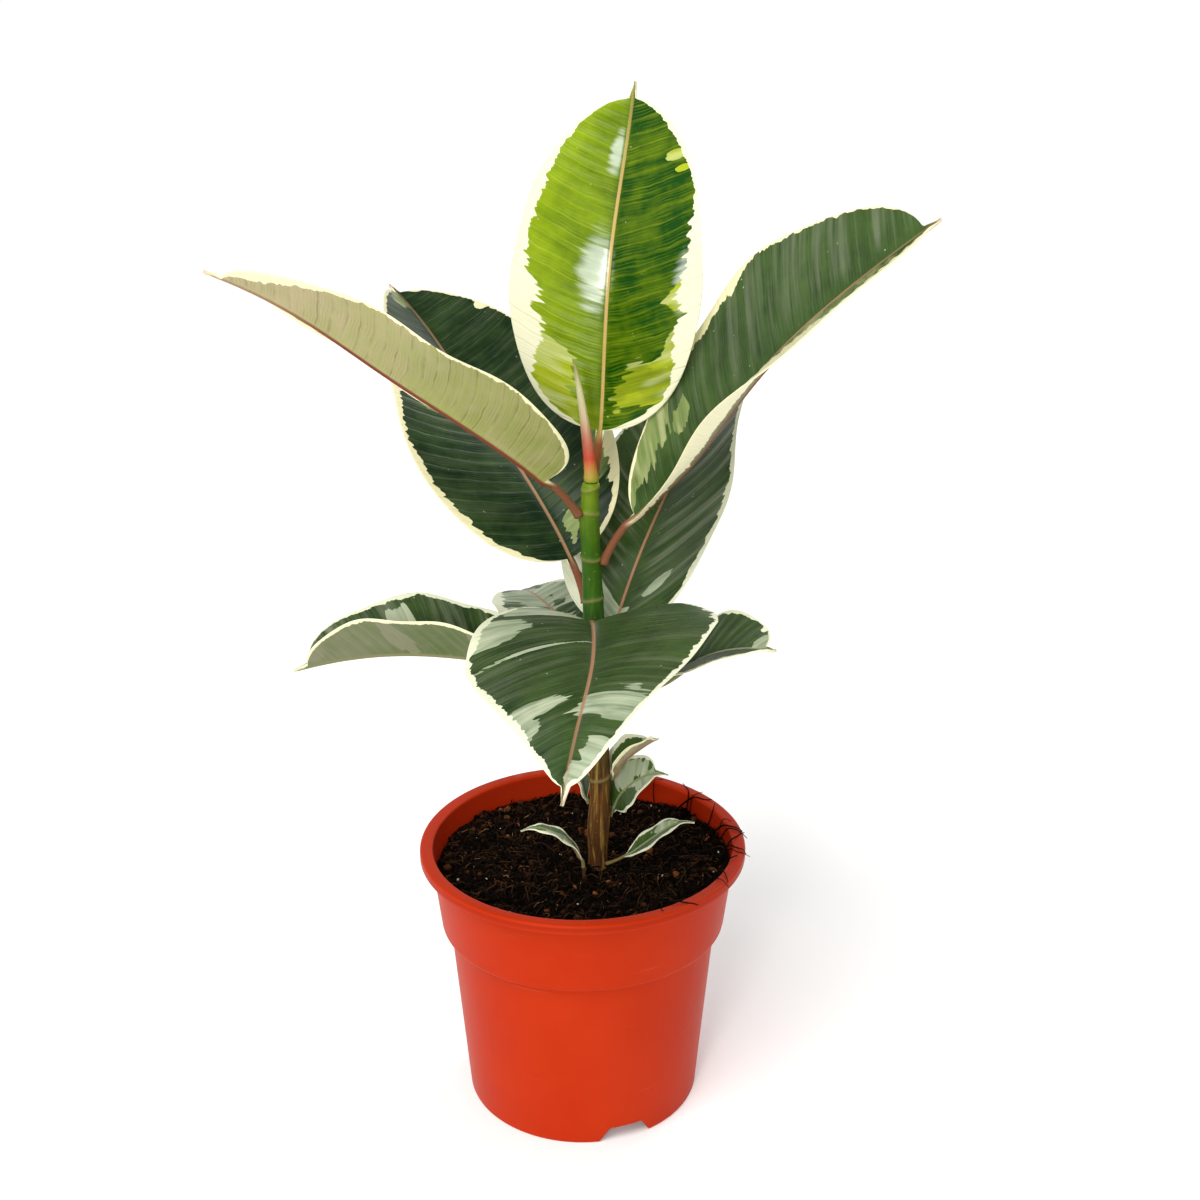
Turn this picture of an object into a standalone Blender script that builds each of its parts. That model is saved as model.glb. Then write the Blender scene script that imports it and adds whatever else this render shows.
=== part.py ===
"""Potted rubber plant: a variegated rubber fig in a plastic nursery pot.

Units are metres and +Z is up. The origin lies on the pot's axis, on the surface that the pot stands on.
Headings are degrees about +Z from +X, and a rise is degrees above the horizontal.
"""

import math
from collections import namedtuple

import bpy
import numpy as np
from mathutils import Matrix

# ---- gaps ------------------------------------------------------------------------------------
CLEARANCE = 0.0003  # between two neighbouring solids
CUT_MARGIN = 0.002  # how far a cutter runs past what it cuts

# ---- pot ---------------------------------------------------------------------------------------
POT_HEIGHT = 0.1445
POT_WALL = 0.0015
POT_SEGMENTS = 64
RIM_RADIUS = 0.085
LIP_HEIGHT = 0.0049
LIP_EDGE = 0.0008  # bevel on the lip's outer corner
LIP_OVERHANG = 0.0053  # how far the lip stands out past the top of the collar
COLLAR_TAPER = 0.0051  # loss of radius down the collar
COLLAR_LENGTH = 0.0440  # from the rim down to the collar's lower edge
COLLAR_STEP = 0.0010  # height of the undercut below the collar
COLLAR_UNDERCUT = 0.0043  # how far the body steps in below the collar
BODY_TAPER = 0.0085  # loss of radius down the body
FLOOR_RAISE = 0.0090  # underside of the raised floor above the standing surface
PAD_RADIUS = 0.0220  # middle of the floor, which reaches down to the standing surface
PAD_SLOPE = 0.0040  # how far the wall around the pad leans out
NOTCH_HEIGHT = 0.0082
NOTCH_COUNT = 3
NOTCH_HEADING = -68.5
NOTCH_LOW_HALF_ANGLE = 13.3
NOTCH_TOP_HALF_ANGLE = 8.0
DRAIN_COUNT = 8
DRAIN_RADIUS = 0.0040

# ---- soil --------------------------------------------------------------------------------------
SOIL_DEPTH = 0.0135  # surface below the rim, around the stem
SOIL_MOUND = 0.0065  # how much the surface climbs at the wall on its high side
SOIL_MOUND_HEADING = -40.0
SOIL_RINGS = 6

# ---- stem, bud and side shoot: heights are above the soil ---------------------------------------
STEM_FOOT = (0.0080, -0.0040)
STEM_ROOT = 0.016  # how far the stem goes down into the soil
STEM_SIDES = 14
# (height, drift to the right of the foot, radius)
STEM_COURSE = (
    (0.000, 0.0000, 0.0047),
    (0.020, 0.0003, 0.0056),
    (0.040, 0.0012, 0.0053),
    (0.070, 0.0006, 0.0052),
    (0.110, -0.0010, 0.0052),
    (0.139, -0.0018, 0.0052),
    (0.174, -0.0031, 0.0047),
    (0.194, -0.0038, 0.0048),
    (0.210, -0.0032, 0.0039),
)
NODE_RING = 0.0004  # how far a leaf scar stands out of the stem
NODE_RING_SPREAD = 0.0022
BUD_LENGTH = 0.0575
BUD_LEAN = -0.0078  # drift of the bud's tip along X
BUD_RADIUS = 0.0031
BUD_TIP_RADIUS = 0.0004
BUD_SIDES = 10
SHOOT_PLACE = (0.0013, -0.0165)
SHOOT_LENGTH = 0.0060
SHOOT_ROOT = 0.0080
SHOOT_RADIUS = 0.0013
SHOOT_SIDES = 10

# ---- leaves ------------------------------------------------------------------------------------
LEAF_THICKNESS = 0.0009
MIDRIB_RADIUS = 0.0016
PETIOLE_RADIUS = 0.0019
SMALL_PETIOLE_RADIUS = 0.0008
TIP_LENGTH = 0.008  # the narrow drip tip
TIP_HALF_WIDTH = 0.0022
TIP_END_HALF_WIDTH = 0.0006
HALF_COLUMNS = 3  # facets from the midrib to one margin
BLADE_ROWS = 18
SMALL_BLADE_ROWS = 10
PETIOLE_ROWS = 4
BASE_BLEND = 0.08  # share of the blade over which the round petiole flattens out
SPIRAL_STEP = 137.5  # turn from one leaf to the next one down the stem
SPIRAL_START = 76.0

# height: above the soil. turn: heading of the blade's base and of its tip, from the petiole's.
# rise: at the stem, at the blade's base, at a third and two thirds of it, and at its tip.
# roll: base and tip, positive lifts the left margin. fold: base and tip, lifts both margins.
# curl: how much more the margin turns up than the midrib. belly: above 1 moves the widest part
# to the tip. taper: narrows the tip half.
Leaf = namedtuple(
    "Leaf", "name height petiole length width turn rise roll fold curl belly taper"
)
LARGE_LEAVES = (
    Leaf("leaf_top", 0.207, 0.027, 0.164, 0.097, (-6, -16), (51, 77, 83, 71, 74),
         (10, 0), (4, 7), 0, 0.92, 0.0),
    Leaf("leaf_left_raised", 0.194, 0.028, 0.183, 0.099, (-7, -21), (55, 44, 36, 37, 21),
         (19, 20), (14, 8), 0, 0.86, 0.0),
    Leaf("leaf_right_raised", 0.169, 0.030, 0.204, 0.107, (-12, -9), (69, 50, 55, 44, 37),
         (36, 26), (22, 16), 8, 1.10, 0.10),
    Leaf("leaf_back_left", 0.146, 0.024, 0.195, 0.111, (-2, 7), (66, 49, 33, 39, 27),
         (-26, 10), (9, 19), 4, 0.93, 0.08),
    Leaf("leaf_front", 0.130, 0.029, 0.175, 0.112, (4, -10), (58, 29, 4, -6, -53),
         (-3, 29), (15, -2), -6, 0.97, 0.53),
    Leaf("leaf_back_right", 0.117, 0.014, 0.174, 0.096, (7, 9), (65, 61, 37, 35, 6),
         (0, -25), (8, 19), 4, 0.90, 0.0),
    Leaf("leaf_low_left", 0.110, 0.023, 0.128, 0.070, (-8, 5), (37, 4, 1, -7, -17),
         (9, 7), (27, 50), 5, 1.05, 0.12),
    Leaf("leaf_low_right", 0.098, 0.020, 0.104, 0.057, (-2, -7), (38, 25, 41, 25, 9),
         (34, 9), (24, 2), 3, 0.97, 0.08),
    Leaf("leaf_rear", 0.092, 0.024, 0.108, 0.060, (12, 16), (38, 30, 8, -4, -30),
         (-2, -4), (4, 6), -4, 1.0, 0.05),
)
# small leaves sprout out of the spiral, each at its own heading
SMALL_LEAVES = (
    (10, Leaf("small_leaf_right", 0.050, 0.004, 0.035, 0.020, (4, 50), (80, 68, 26, 8, -20),
              (-10, -8), (40, 46), 6, 1.0, 0.0)),
    (25, Leaf("small_leaf_back", 0.028, 0.005, 0.041, 0.031, (-14, -60), (62, 70, 48, 31, -2),
              (35, 30), (11, 9), 0, 1.0, 0.0)),
    (150, Leaf("small_leaf_left", 0.035, 0.004, 0.030, 0.021, (5, 1), (60, 74, 70, 67, 62),
               (12, 6), (7, 4), 0, 1.0, 0.0)),
    (325, Leaf("base_leaf_right", 0.003, 0.014, 0.040, 0.015, (32, 30), (30, 36, 36, 30, -12),
               (5, 2), (9, 10), -4, 1.0, 0.0)),
)
SHOOT_LEAF_HEADING = 180
SHOOT_LEAF = Leaf("base_leaf_left", SHOOT_LENGTH, 0.007, 0.039, 0.013, (5, 9),
                  (88, 70, 42, 20, -26), (4, -4), (6, 2), -5, 1.0, 0.0)

# ---- colours: red, green, blue, roughness --------------------------------------------------------
FINISHES = {
    "pot": (0.62, 0.08, 0.02, 0.35),
    "soil": (0.03, 0.018, 0.012, 0.95),
    "stem": (0.12, 0.16, 0.04, 0.6),
    "bud": (0.60, 0.25, 0.15, 0.5),
    "shoot": (0.16, 0.08, 0.04, 0.7),
    "young_leaf": (0.22, 0.38, 0.03, 0.35),
    "leaf": (0.035, 0.10, 0.04, 0.4),
}

COLLAR_TOP_RADIUS = RIM_RADIUS - LIP_OVERHANG
COLLAR_LOW_RADIUS = COLLAR_TOP_RADIUS - COLLAR_TAPER
BODY_TOP_RADIUS = COLLAR_LOW_RADIUS - COLLAR_UNDERCUT
FOOT_RADIUS = BODY_TOP_RADIUS - BODY_TAPER
DRAIN_CIRCLE = (PAD_RADIUS + PAD_SLOPE + FOOT_RADIUS) / 2  # midway from the pad to the foot
SOIL_LEVEL = POT_HEIGHT - SOIL_DEPTH
FLOOR_TOP = FLOOR_RAISE + POT_WALL
STEP_TOP = POT_HEIGHT - COLLAR_LENGTH


def clear_scene():
    for thing in list(bpy.data.objects):
        bpy.data.objects.remove(thing, do_unlink=True)


def finish(name):
    """One Principled material for each finish."""
    material = bpy.data.materials.get(name)
    if material is None:
        red, green, blue, roughness = FINISHES[name]
        material = bpy.data.materials.new(name)
        material.use_nodes = True
        shader = material.node_tree.nodes["Principled BSDF"]
        shader.inputs["Base Color"].default_value = (red, green, blue, 1.0)
        shader.inputs["Roughness"].default_value = roughness
        shader.inputs["Metallic"].default_value = 0.0
        material.diffuse_color = (red, green, blue, 1.0)
    return material


def add_object(name, points, faces, material, parent):
    mesh = bpy.data.meshes.new(name)
    mesh.from_pydata([tuple(map(float, point)) for point in points], [], faces)
    mesh.shade_smooth()
    mesh.set_sharp_from_angle(angle=math.radians(40))
    thing = bpy.data.objects.new(name, mesh)
    bpy.context.scene.collection.objects.link(thing)
    if material is not None:
        thing.data.materials.append(finish(material))
    thing.parent = parent
    return thing


def add_empty(name):
    empty = bpy.data.objects.new(name, None)
    bpy.context.scene.collection.objects.link(empty)
    return empty


def through(knots, values, places):
    """Smooth curve through (knots, values), read at places: cubic pieces that share their slopes."""
    knots = np.asarray(knots, float)
    values = np.asarray(values, float)
    gaps = np.diff(knots)
    rates = np.diff(values) / gaps
    slopes = np.empty(len(knots))
    slopes[0] = rates[0]
    slopes[-1] = rates[-1]
    slopes[1:-1] = (rates[:-1] * gaps[1:] + rates[1:] * gaps[:-1]) / (gaps[1:] + gaps[:-1])
    piece = np.clip(np.searchsorted(knots, places) - 1, 0, len(gaps) - 1)
    gap = gaps[piece]
    u = np.clip((places - knots[piece]) / gap, 0, 1)
    start = (1 + 2 * u) * (1 - u) ** 2 * values[piece]
    start_slope = u * (1 - u) ** 2 * gap * slopes[piece]
    end = u**2 * (3 - 2 * u) * values[piece + 1]
    end_slope = u**2 * (u - 1) * gap * slopes[piece + 1]
    return start + start_slope + end + end_slope


def smooth_step(x):
    x = np.clip(x, 0, 1)
    return x * x * (3 - 2 * x)


def loft_faces(rows, around):
    """Quads between closed loops of points, and a cap on each end."""
    faces = [tuple(range(around))[::-1]]
    for row in range(rows - 1):
        for k in range(around):
            here = row * around + k
            beside = row * around + (k + 1) % around
            faces.append((here, beside, beside + around, here + around))
    faces.append(tuple((rows - 1) * around + k for k in range(around)))
    return faces


def leaf_faces(rows, around):
    """A leaf's skin, facing outwards. Its quads are split along the same diagonal of the blade
    above and below, so that the two faces stay apart where the blade twists."""
    faces = []
    for face in loft_faces(rows, around):
        if len(face) > 4:
            faces.append(face[::-1])
            continue
        here, beside, beyond, ahead = face
        if here % around < around // 2:
            faces += [(ahead, beyond, beside), (ahead, beside, here)]
        else:
            faces += [(beyond, beside, here), (ahead, beyond, here)]
    return faces


def tube(centres, radii, sides):
    """A round upright tube: one level loop around each centre."""
    turns = np.arange(sides) * 2 * math.pi / sides
    circle = np.stack([np.cos(turns), np.sin(turns), 0 * turns], axis=-1)
    loops = centres[:, None, :] + radii[:, None, None] * circle[None]
    return loops.reshape(-1, 3), loft_faces(len(centres), sides)


# ---- pot ---------------------------------------------------------------------------------------
def pot_outside():
    """(radius, height) up the outside, from the foot to the rim's inner edge."""
    lip_under = POT_HEIGHT - POT_WALL
    return [
        (FOOT_RADIUS, 0.0),
        (foot_radius_at(FLOOR_TOP), FLOOR_TOP),
        (BODY_TOP_RADIUS, STEP_TOP - COLLAR_STEP),
        (COLLAR_LOW_RADIUS, STEP_TOP),
        (COLLAR_TOP_RADIUS, lip_under),
        (RIM_RADIUS - POT_WALL, lip_under),
        (RIM_RADIUS - POT_WALL, POT_HEIGHT - LIP_HEIGHT),
        (RIM_RADIUS, POT_HEIGHT - LIP_HEIGHT),
        (RIM_RADIUS, POT_HEIGHT - LIP_EDGE),
        (RIM_RADIUS - LIP_EDGE, POT_HEIGHT),
    ]


def pot_inside(gap=0.0):
    """(radius, height) down the inside, from the rim to the axis, moved in from the wall by a gap."""
    wall = POT_WALL + gap
    return [
        (COLLAR_TOP_RADIUS - wall, POT_HEIGHT),
        (COLLAR_LOW_RADIUS - wall, STEP_TOP + POT_WALL + gap),
        (BODY_TOP_RADIUS - wall, STEP_TOP - COLLAR_STEP + gap),
        (foot_radius_at(FLOOR_TOP) - wall, FLOOR_TOP + gap),
        (PAD_RADIUS + PAD_SLOPE - gap, FLOOR_TOP + gap),
        (PAD_RADIUS - gap, POT_WALL + gap),
    ]


def foot_radius_at(height):
    """Outer radius of the lower body at a height."""
    lean = (BODY_TOP_RADIUS - FOOT_RADIUS) / (STEP_TOP - COLLAR_STEP)
    return FOOT_RADIUS + lean * height


def pot_underside():
    """(radius, height) outwards under the floor, from the pad to the inner side of the foot."""
    return [
        (PAD_RADIUS + POT_WALL, 0.0),
        (PAD_RADIUS + PAD_SLOPE + POT_WALL, FLOOR_RAISE),
        (foot_radius_at(FLOOR_RAISE) - POT_WALL, FLOOR_RAISE),
        (FOOT_RADIUS - POT_WALL, 0.0),
    ]


def turned(outline, sides, low_centre, high_centre):
    """The outline turned about Z and closed with a point on the axis below and one above."""
    turns = np.arange(sides) * 2 * math.pi / sides
    rows = []
    for radius, height in outline:
        rows.append(np.stack([radius * np.cos(turns), radius * np.sin(turns), 0 * turns + height], -1))
    points = np.concatenate(rows + [[[0, 0, low_centre]], [[0, 0, high_centre]]])
    low = len(outline) * sides
    last = (len(outline) - 1) * sides
    faces = []
    for k in range(sides):
        after = (k + 1) % sides
        faces.append((low, after, k))
        faces.append((low + 1, last + k, last + after))
        for row in range(len(outline) - 1):
            here = row * sides
            faces.append((here + k, here + after, here + sides + after, here + sides + k))
    return points, faces


def cut(body, cutter, name):
    """Takes the cutter's shape out of the body, with the cutter kept as a hidden guide."""
    cutter.hide_render = True
    cutter.display_type = "WIRE"
    taken = body.modifiers.new(name, "BOOLEAN")
    taken.operation = "DIFFERENCE"
    taken.solver = "EXACT"
    taken.object = cutter


def add_block(name, corners, parent):
    """A guide block from its four lower and four upper corners, each listed anticlockwise from above."""
    faces = [(3, 2, 1, 0), (4, 5, 6, 7)]
    faces += [(k, (k + 1) % 4, (k + 1) % 4 + 4, k + 4) for k in range(4)]
    return add_object(name, corners, faces, None, parent)


def notch_corners():
    """The cutter of one foot notch, about heading 0: wider at the bottom than at the top."""
    inner = PAD_RADIUS + PAD_SLOPE + POT_WALL + CUT_MARGIN
    outer = RIM_RADIUS
    levels = (
        (-CUT_MARGIN, NOTCH_LOW_HALF_ANGLE),
        (NOTCH_HEIGHT, NOTCH_TOP_HALF_ANGLE),
    )
    corners = []
    for height, half_angle in levels:
        side = FOOT_RADIUS * math.sin(math.radians(half_angle))
        corners += [(inner, -side, height), (outer, -side, height)]
        corners += [(outer, side, height), (inner, side, height)]
    return corners


def build_pot(parent):
    outline = pot_underside() + pot_outside() + pot_inside()
    points, faces = turned(outline, POT_SEGMENTS, 0.0, POT_WALL)
    pot = add_object("pot", points, faces, "pot", parent)
    for k in range(NOTCH_COUNT):
        notch = add_block(f"guide_notch_{k}", notch_corners(), parent)
        notch.rotation_euler.z = math.radians(NOTCH_HEADING + 360 / NOTCH_COUNT * k)
        cut(pot, notch, f"notch {k}")
    for k in range(DRAIN_COUNT):
        heading = 2 * math.pi * (k + 0.5) / DRAIN_COUNT
        centres = np.array([[0, 0, -CUT_MARGIN], [0, 0, FLOOR_TOP + CUT_MARGIN]])
        points, faces = tube(centres, np.full(2, DRAIN_RADIUS), 12)
        drain = add_object(f"guide_drain_{k}", points, faces, None, parent)
        drain.location = (DRAIN_CIRCLE * math.cos(heading), DRAIN_CIRCLE * math.sin(heading), 0)
        cut(pot, drain, f"drain {k}")


# ---- soil --------------------------------------------------------------------------------------
def wall_radius(height):
    """Radius of the pot's inner wall at a height inside the collar."""
    top, low = pot_inside()[:2]
    return np.interp(height, [low[1], top[1]], [low[0], top[0]])


def soil_height(radius_share, headings):
    """Soil surface: level around the stem, and higher towards the wall on the mounded side."""
    facing = (1 + np.cos(headings - math.radians(SOIL_MOUND_HEADING))) / 2
    return SOIL_LEVEL + SOIL_MOUND * facing**2 * radius_share**2


def build_soil(parent, roots):
    headings = np.arange(POT_SEGMENTS) * 2 * math.pi / POT_SEGMENTS
    under = pot_inside(CLEARANCE)[::-1]
    rows = [(radius, 0 * headings + height) for radius, height in under[:-1]]
    for k in range(SOIL_RINGS):
        share = 1 - k / SOIL_RINGS
        height = soil_height(share, headings)
        rows.append((share * (wall_radius(height) - CLEARANCE), height))
    points = []
    for radius, height in rows:
        points.append(np.stack([radius * np.cos(headings), radius * np.sin(headings), height], -1))
    points = np.concatenate(points + [[[0, 0, POT_WALL + CLEARANCE]], [[0, 0, SOIL_LEVEL]]])
    _, faces = turned([(1, 1)] * len(rows), POT_SEGMENTS, 0, 0)
    soil = add_object("soil", points, faces, "soil", parent)
    for name, place, radius, depth in roots:
        low = SOIL_LEVEL - depth - CLEARANCE
        centres = np.array([[*place, low], [*place, POT_HEIGHT + CUT_MARGIN]])
        points, faces = tube(centres, np.full(2, radius), 20)
        hole = add_object(f"guide_{name}", points, faces, None, parent)
        cut(soil, hole, name)


# ---- stem, bud and side shoot --------------------------------------------------------------------
def stem_at(height):
    """The stem's centre and radius at a height above the soil."""
    heights, drifts, radii = np.array(STEM_COURSE).T
    height = np.asarray(height, float)
    drift = through(heights, drifts, height)
    centre = np.stack([STEM_FOOT[0] + drift, STEM_FOOT[1] + 0 * height, SOIL_LEVEL + height], -1)
    return centre, through(heights, radii, height)


def build_stem(parent):
    top = STEM_COURSE[-1][0]
    scars = np.array([leaf.height for leaf in LARGE_LEAVES] + [top])
    scars = np.minimum(scars, top - NODE_RING_SPREAD)
    above = [0.0, 0.008, 0.020, 0.032, 0.045, 0.060, 0.078, top]
    for scar in scars:
        above += [scar - NODE_RING_SPREAD, scar, scar + NODE_RING_SPREAD]
    above = np.unique(np.round(above, 4))
    above = above[np.append(True, np.diff(above) > NODE_RING_SPREAD / 3)]
    centres, radii = stem_at(above)
    nearest = np.abs(above[:, None] - scars[None]).min(axis=1)
    radii = radii + NODE_RING * (1 - smooth_step(nearest / NODE_RING_SPREAD))
    root = centres[:1] - [[0, 0, STEM_ROOT]]
    points, faces = tube(np.concatenate([root, centres]), np.append(radii[0], radii), STEM_SIDES)
    add_object("stem", points, faces, "stem", parent)


def build_bud(parent):
    """The pointed sheath of the next leaf, on the stem's tip."""
    rows = 7
    share = np.linspace(0, 1, rows)
    radii = BUD_RADIUS * np.sqrt(1 - share) * (1 - 0.25 * share) + BUD_TIP_RADIUS
    centres = np.stack([BUD_LEAN * share**1.3, 0 * share, BUD_LENGTH * share], -1)
    points, faces = tube(centres, radii, BUD_SIDES)
    bud = add_object("bud_sheath", points, faces, "bud", parent)
    top, _ = stem_at(STEM_COURSE[-1][0])
    bud.location = (top[0], top[1], top[2] + CLEARANCE)


def build_shoot(parent):
    """The short woody side shoot that carries the left base leaf."""
    heights = np.array([-SHOOT_ROOT, 0.0, SHOOT_LENGTH / 2, SHOOT_LENGTH])
    centres = np.stack([0 * heights, 0 * heights, heights], -1)
    radii = np.array([SHOOT_RADIUS, SHOOT_RADIUS, SHOOT_RADIUS * 1.1, SHOOT_RADIUS * 0.8])
    points, faces = tube(centres, radii, SHOOT_SIDES)
    shoot = add_object("side_shoot", points, faces, "shoot", parent)
    shoot.location = (*SHOOT_PLACE, SOIL_LEVEL)


# ---- leaves ------------------------------------------------------------------------------------
def leaf_course(leaf, places):
    """Centre line, direction, side and upward vectors at distances along petiole and blade.

    The line starts at the local origin and leads off along +X. Its direction turns and rises
    smoothly through the leaf's own values, and the points are the sums of short steps."""
    whole = leaf.petiole + leaf.length
    ends = [0, leaf.petiole, leaf.petiole + leaf.length / 3, leaf.petiole + leaf.length * 2 / 3, whole]

    def direction(distance):
        rise = np.radians(through(ends, leaf.rise, distance))
        turn = np.radians(through([0, leaf.petiole, whole], (0, *leaf.turn), distance))
        ahead = np.stack([np.cos(rise) * np.cos(turn), np.cos(rise) * np.sin(turn), np.sin(rise)], -1)
        return ahead, np.stack([-np.sin(turn), np.cos(turn), 0 * turn], -1)

    steps = 240
    middles = (np.arange(steps) + 0.5) * whole / steps
    walked = np.concatenate([np.zeros((1, 3)), np.cumsum(direction(middles)[0] * whole / steps, axis=0)])
    distances = np.arange(steps + 1) * whole / steps
    line = np.stack([np.interp(places, distances, walked[:, k]) for k in range(3)], -1)
    ahead, level = direction(places)
    share = np.clip((places - leaf.petiole) / leaf.length, 0, 1)
    roll = np.radians(leaf.roll[0] + (leaf.roll[1] - leaf.roll[0]) * share)[:, None]
    above = np.cross(ahead, level)
    side = np.cos(roll) * level + np.sin(roll) * above
    upward = np.cos(roll) * above - np.sin(roll) * level
    return line, side, upward, share


def half_width(leaf, share):
    """Half of the blade's width: an ellipse, narrowed towards the tip, that runs into a drip tip."""
    reach = np.clip(share * leaf.length / (leaf.length - TIP_LENGTH), 0, 1) ** leaf.belly
    ellipse = leaf.width / 2 * np.sqrt(4 * reach * (1 - reach))
    ellipse = ellipse * (1 - leaf.taper * np.clip(2 * reach - 1, 0, None))
    tip = np.minimum(TIP_HALF_WIDTH, TIP_HALF_WIDTH * (1 - share) * leaf.length / TIP_LENGTH)
    return np.sqrt(ellipse**2 + tip**2)


def build_leaf(leaf, petiole_radius, rows, place, heading, material, parent):
    """Petiole, midrib and blade as one solid: loops of points carried along the centre line.

    A loop is a circle along the petiole. Along the blade its upper points lie across the upper
    face from margin to margin and its lower points return across the lower face."""
    places = np.concatenate([
        np.linspace(0, leaf.petiole, PETIOLE_ROWS + 1)[:-1],
        leaf.petiole + leaf.length * np.linspace(0, 1, rows + 1),
    ])
    line, side, upward, share = leaf_course(leaf, places)
    half = np.maximum(half_width(leaf, share), TIP_END_HALF_WIDTH)

    across = np.linspace(-1, 1, 2 * HALF_COLUMNS + 1)
    columns = np.concatenate([across, across[-2:0:-1]])
    upper = np.arange(len(columns)) < len(across)
    inner = np.abs(columns) < 1
    fold = leaf.fold[0] + (leaf.fold[1] - leaf.fold[0]) * share
    steps = (np.arange(HALF_COLUMNS) + 0.5) / HALF_COLUMNS
    angle = np.radians(fold[:, None] + leaf.curl * steps[None])
    zero = np.zeros((len(places), 1))
    out = np.concatenate([zero, np.cumsum(np.cos(angle), axis=1) / HALF_COLUMNS], axis=1)
    lift = np.concatenate([zero, np.cumsum(np.sin(angle), axis=1) / HALF_COLUMNS], axis=1)
    column_index = np.round(np.abs(columns) * HALF_COLUMNS).astype(int)
    thick = LEAF_THICKNESS / 2 * np.minimum(1, petiole_radius / PETIOLE_RADIUS + 0.2)
    depth = np.where(upper, thick, -thick) * inner
    depth = depth - np.where(~upper & (columns == 0), MIDRIB_RADIUS * petiole_radius / PETIOLE_RADIUS, 0)
    fade = 1 - 0.75 * share[:, None]
    flat_side = half[:, None] * np.sign(columns) * out[:, column_index]
    flat_up = half[:, None] * lift[:, column_index] + depth[None] * np.where(columns == 0, fade, 1)

    turns = np.concatenate([
        math.pi * (1 - np.arange(len(across)) / (len(across) - 1)),
        -math.pi * np.arange(1, len(across) - 1) / (len(across) - 1),
    ])
    flatten = smooth_step((places - leaf.petiole) / (leaf.length * BASE_BLEND))[:, None]
    to_side = (1 - flatten) * petiole_radius * np.cos(turns) + flatten * flat_side
    to_up = (1 - flatten) * petiole_radius * np.sin(turns) + flatten * flat_up
    loops = line[:, None] + to_side[..., None] * side[:, None] + to_up[..., None] * upward[:, None]
    loops[..., 0] = np.maximum(loops[..., 0], 0)

    points = loops.reshape(-1, 3)
    faces = leaf_faces(len(places), len(columns))
    thing = add_object(leaf.name, points, faces, material, parent)
    thing.location = place
    thing.rotation_euler.z = math.radians(heading)


def skin_place(height, heading):
    """The point just outside the stem's skin at a height above the soil and a heading."""
    centre, radius = stem_at(height)
    reach = radius + NODE_RING + CLEARANCE
    turn = Matrix.Rotation(math.radians(heading), 3, "Z")
    outward = turn.col[0] * float(reach)
    return tuple(float(c) + o for c, o in zip(centre, outward))


def build_leaves(parent):
    for order, leaf in enumerate(LARGE_LEAVES):
        heading = SPIRAL_START + SPIRAL_STEP * order
        material = "young_leaf" if order == 0 else "leaf"
        place = skin_place(leaf.height, heading)
        build_leaf(leaf, PETIOLE_RADIUS, BLADE_ROWS, place, heading, material, parent)
    for heading, leaf in SMALL_LEAVES:
        place = skin_place(leaf.height, heading)
        build_leaf(leaf, SMALL_PETIOLE_RADIUS, SMALL_BLADE_ROWS, place, heading, "leaf", parent)
    top = (*SHOOT_PLACE, SOIL_LEVEL + SHOOT_LENGTH + CLEARANCE)
    build_leaf(SHOOT_LEAF, SMALL_PETIOLE_RADIUS, SMALL_BLADE_ROWS, top, SHOOT_LEAF_HEADING, "leaf", parent)


def main():
    clear_scene()
    holder = add_empty("holder")
    plant = add_empty("plant")
    build_pot(holder)
    stem_radius = float(stem_at(0.0)[1]) + CLEARANCE
    roots = (
        ("stem_hole", STEM_FOOT, stem_radius, STEM_ROOT),
        ("shoot_hole", SHOOT_PLACE, SHOOT_RADIUS + CLEARANCE, SHOOT_ROOT),
    )
    build_soil(holder, roots)
    build_stem(plant)
    build_bud(plant)
    build_shoot(plant)
    build_leaves(plant)


main()
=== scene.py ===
"""Looks of the potted rubber plant: leaves, stem, bud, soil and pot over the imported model.

Units are metres and +Z is up. Headings are degrees about +Z from +X, and rises are degrees above
the horizontal.
"""

import math
from collections import namedtuple

import bpy
import numpy as np
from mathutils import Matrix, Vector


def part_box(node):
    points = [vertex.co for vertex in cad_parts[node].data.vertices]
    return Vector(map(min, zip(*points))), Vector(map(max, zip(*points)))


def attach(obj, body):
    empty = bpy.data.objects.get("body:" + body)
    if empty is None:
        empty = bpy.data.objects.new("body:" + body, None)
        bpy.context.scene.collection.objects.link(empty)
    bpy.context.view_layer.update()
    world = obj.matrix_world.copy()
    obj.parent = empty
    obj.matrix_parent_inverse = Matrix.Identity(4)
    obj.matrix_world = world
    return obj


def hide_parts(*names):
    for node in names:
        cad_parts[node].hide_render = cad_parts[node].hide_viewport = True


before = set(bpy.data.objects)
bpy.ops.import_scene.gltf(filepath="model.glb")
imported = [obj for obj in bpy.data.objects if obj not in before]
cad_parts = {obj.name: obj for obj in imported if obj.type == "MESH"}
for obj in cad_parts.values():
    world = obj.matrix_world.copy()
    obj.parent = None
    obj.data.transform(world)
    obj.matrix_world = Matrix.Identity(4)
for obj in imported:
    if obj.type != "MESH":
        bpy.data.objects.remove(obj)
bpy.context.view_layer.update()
POT_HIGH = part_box("pot")[1]
STEM_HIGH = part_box("stem")[1]
BUD_LOW, BUD_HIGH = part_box("bud_sheath")
SHOOT_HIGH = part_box("side_shoot")[1]

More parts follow.
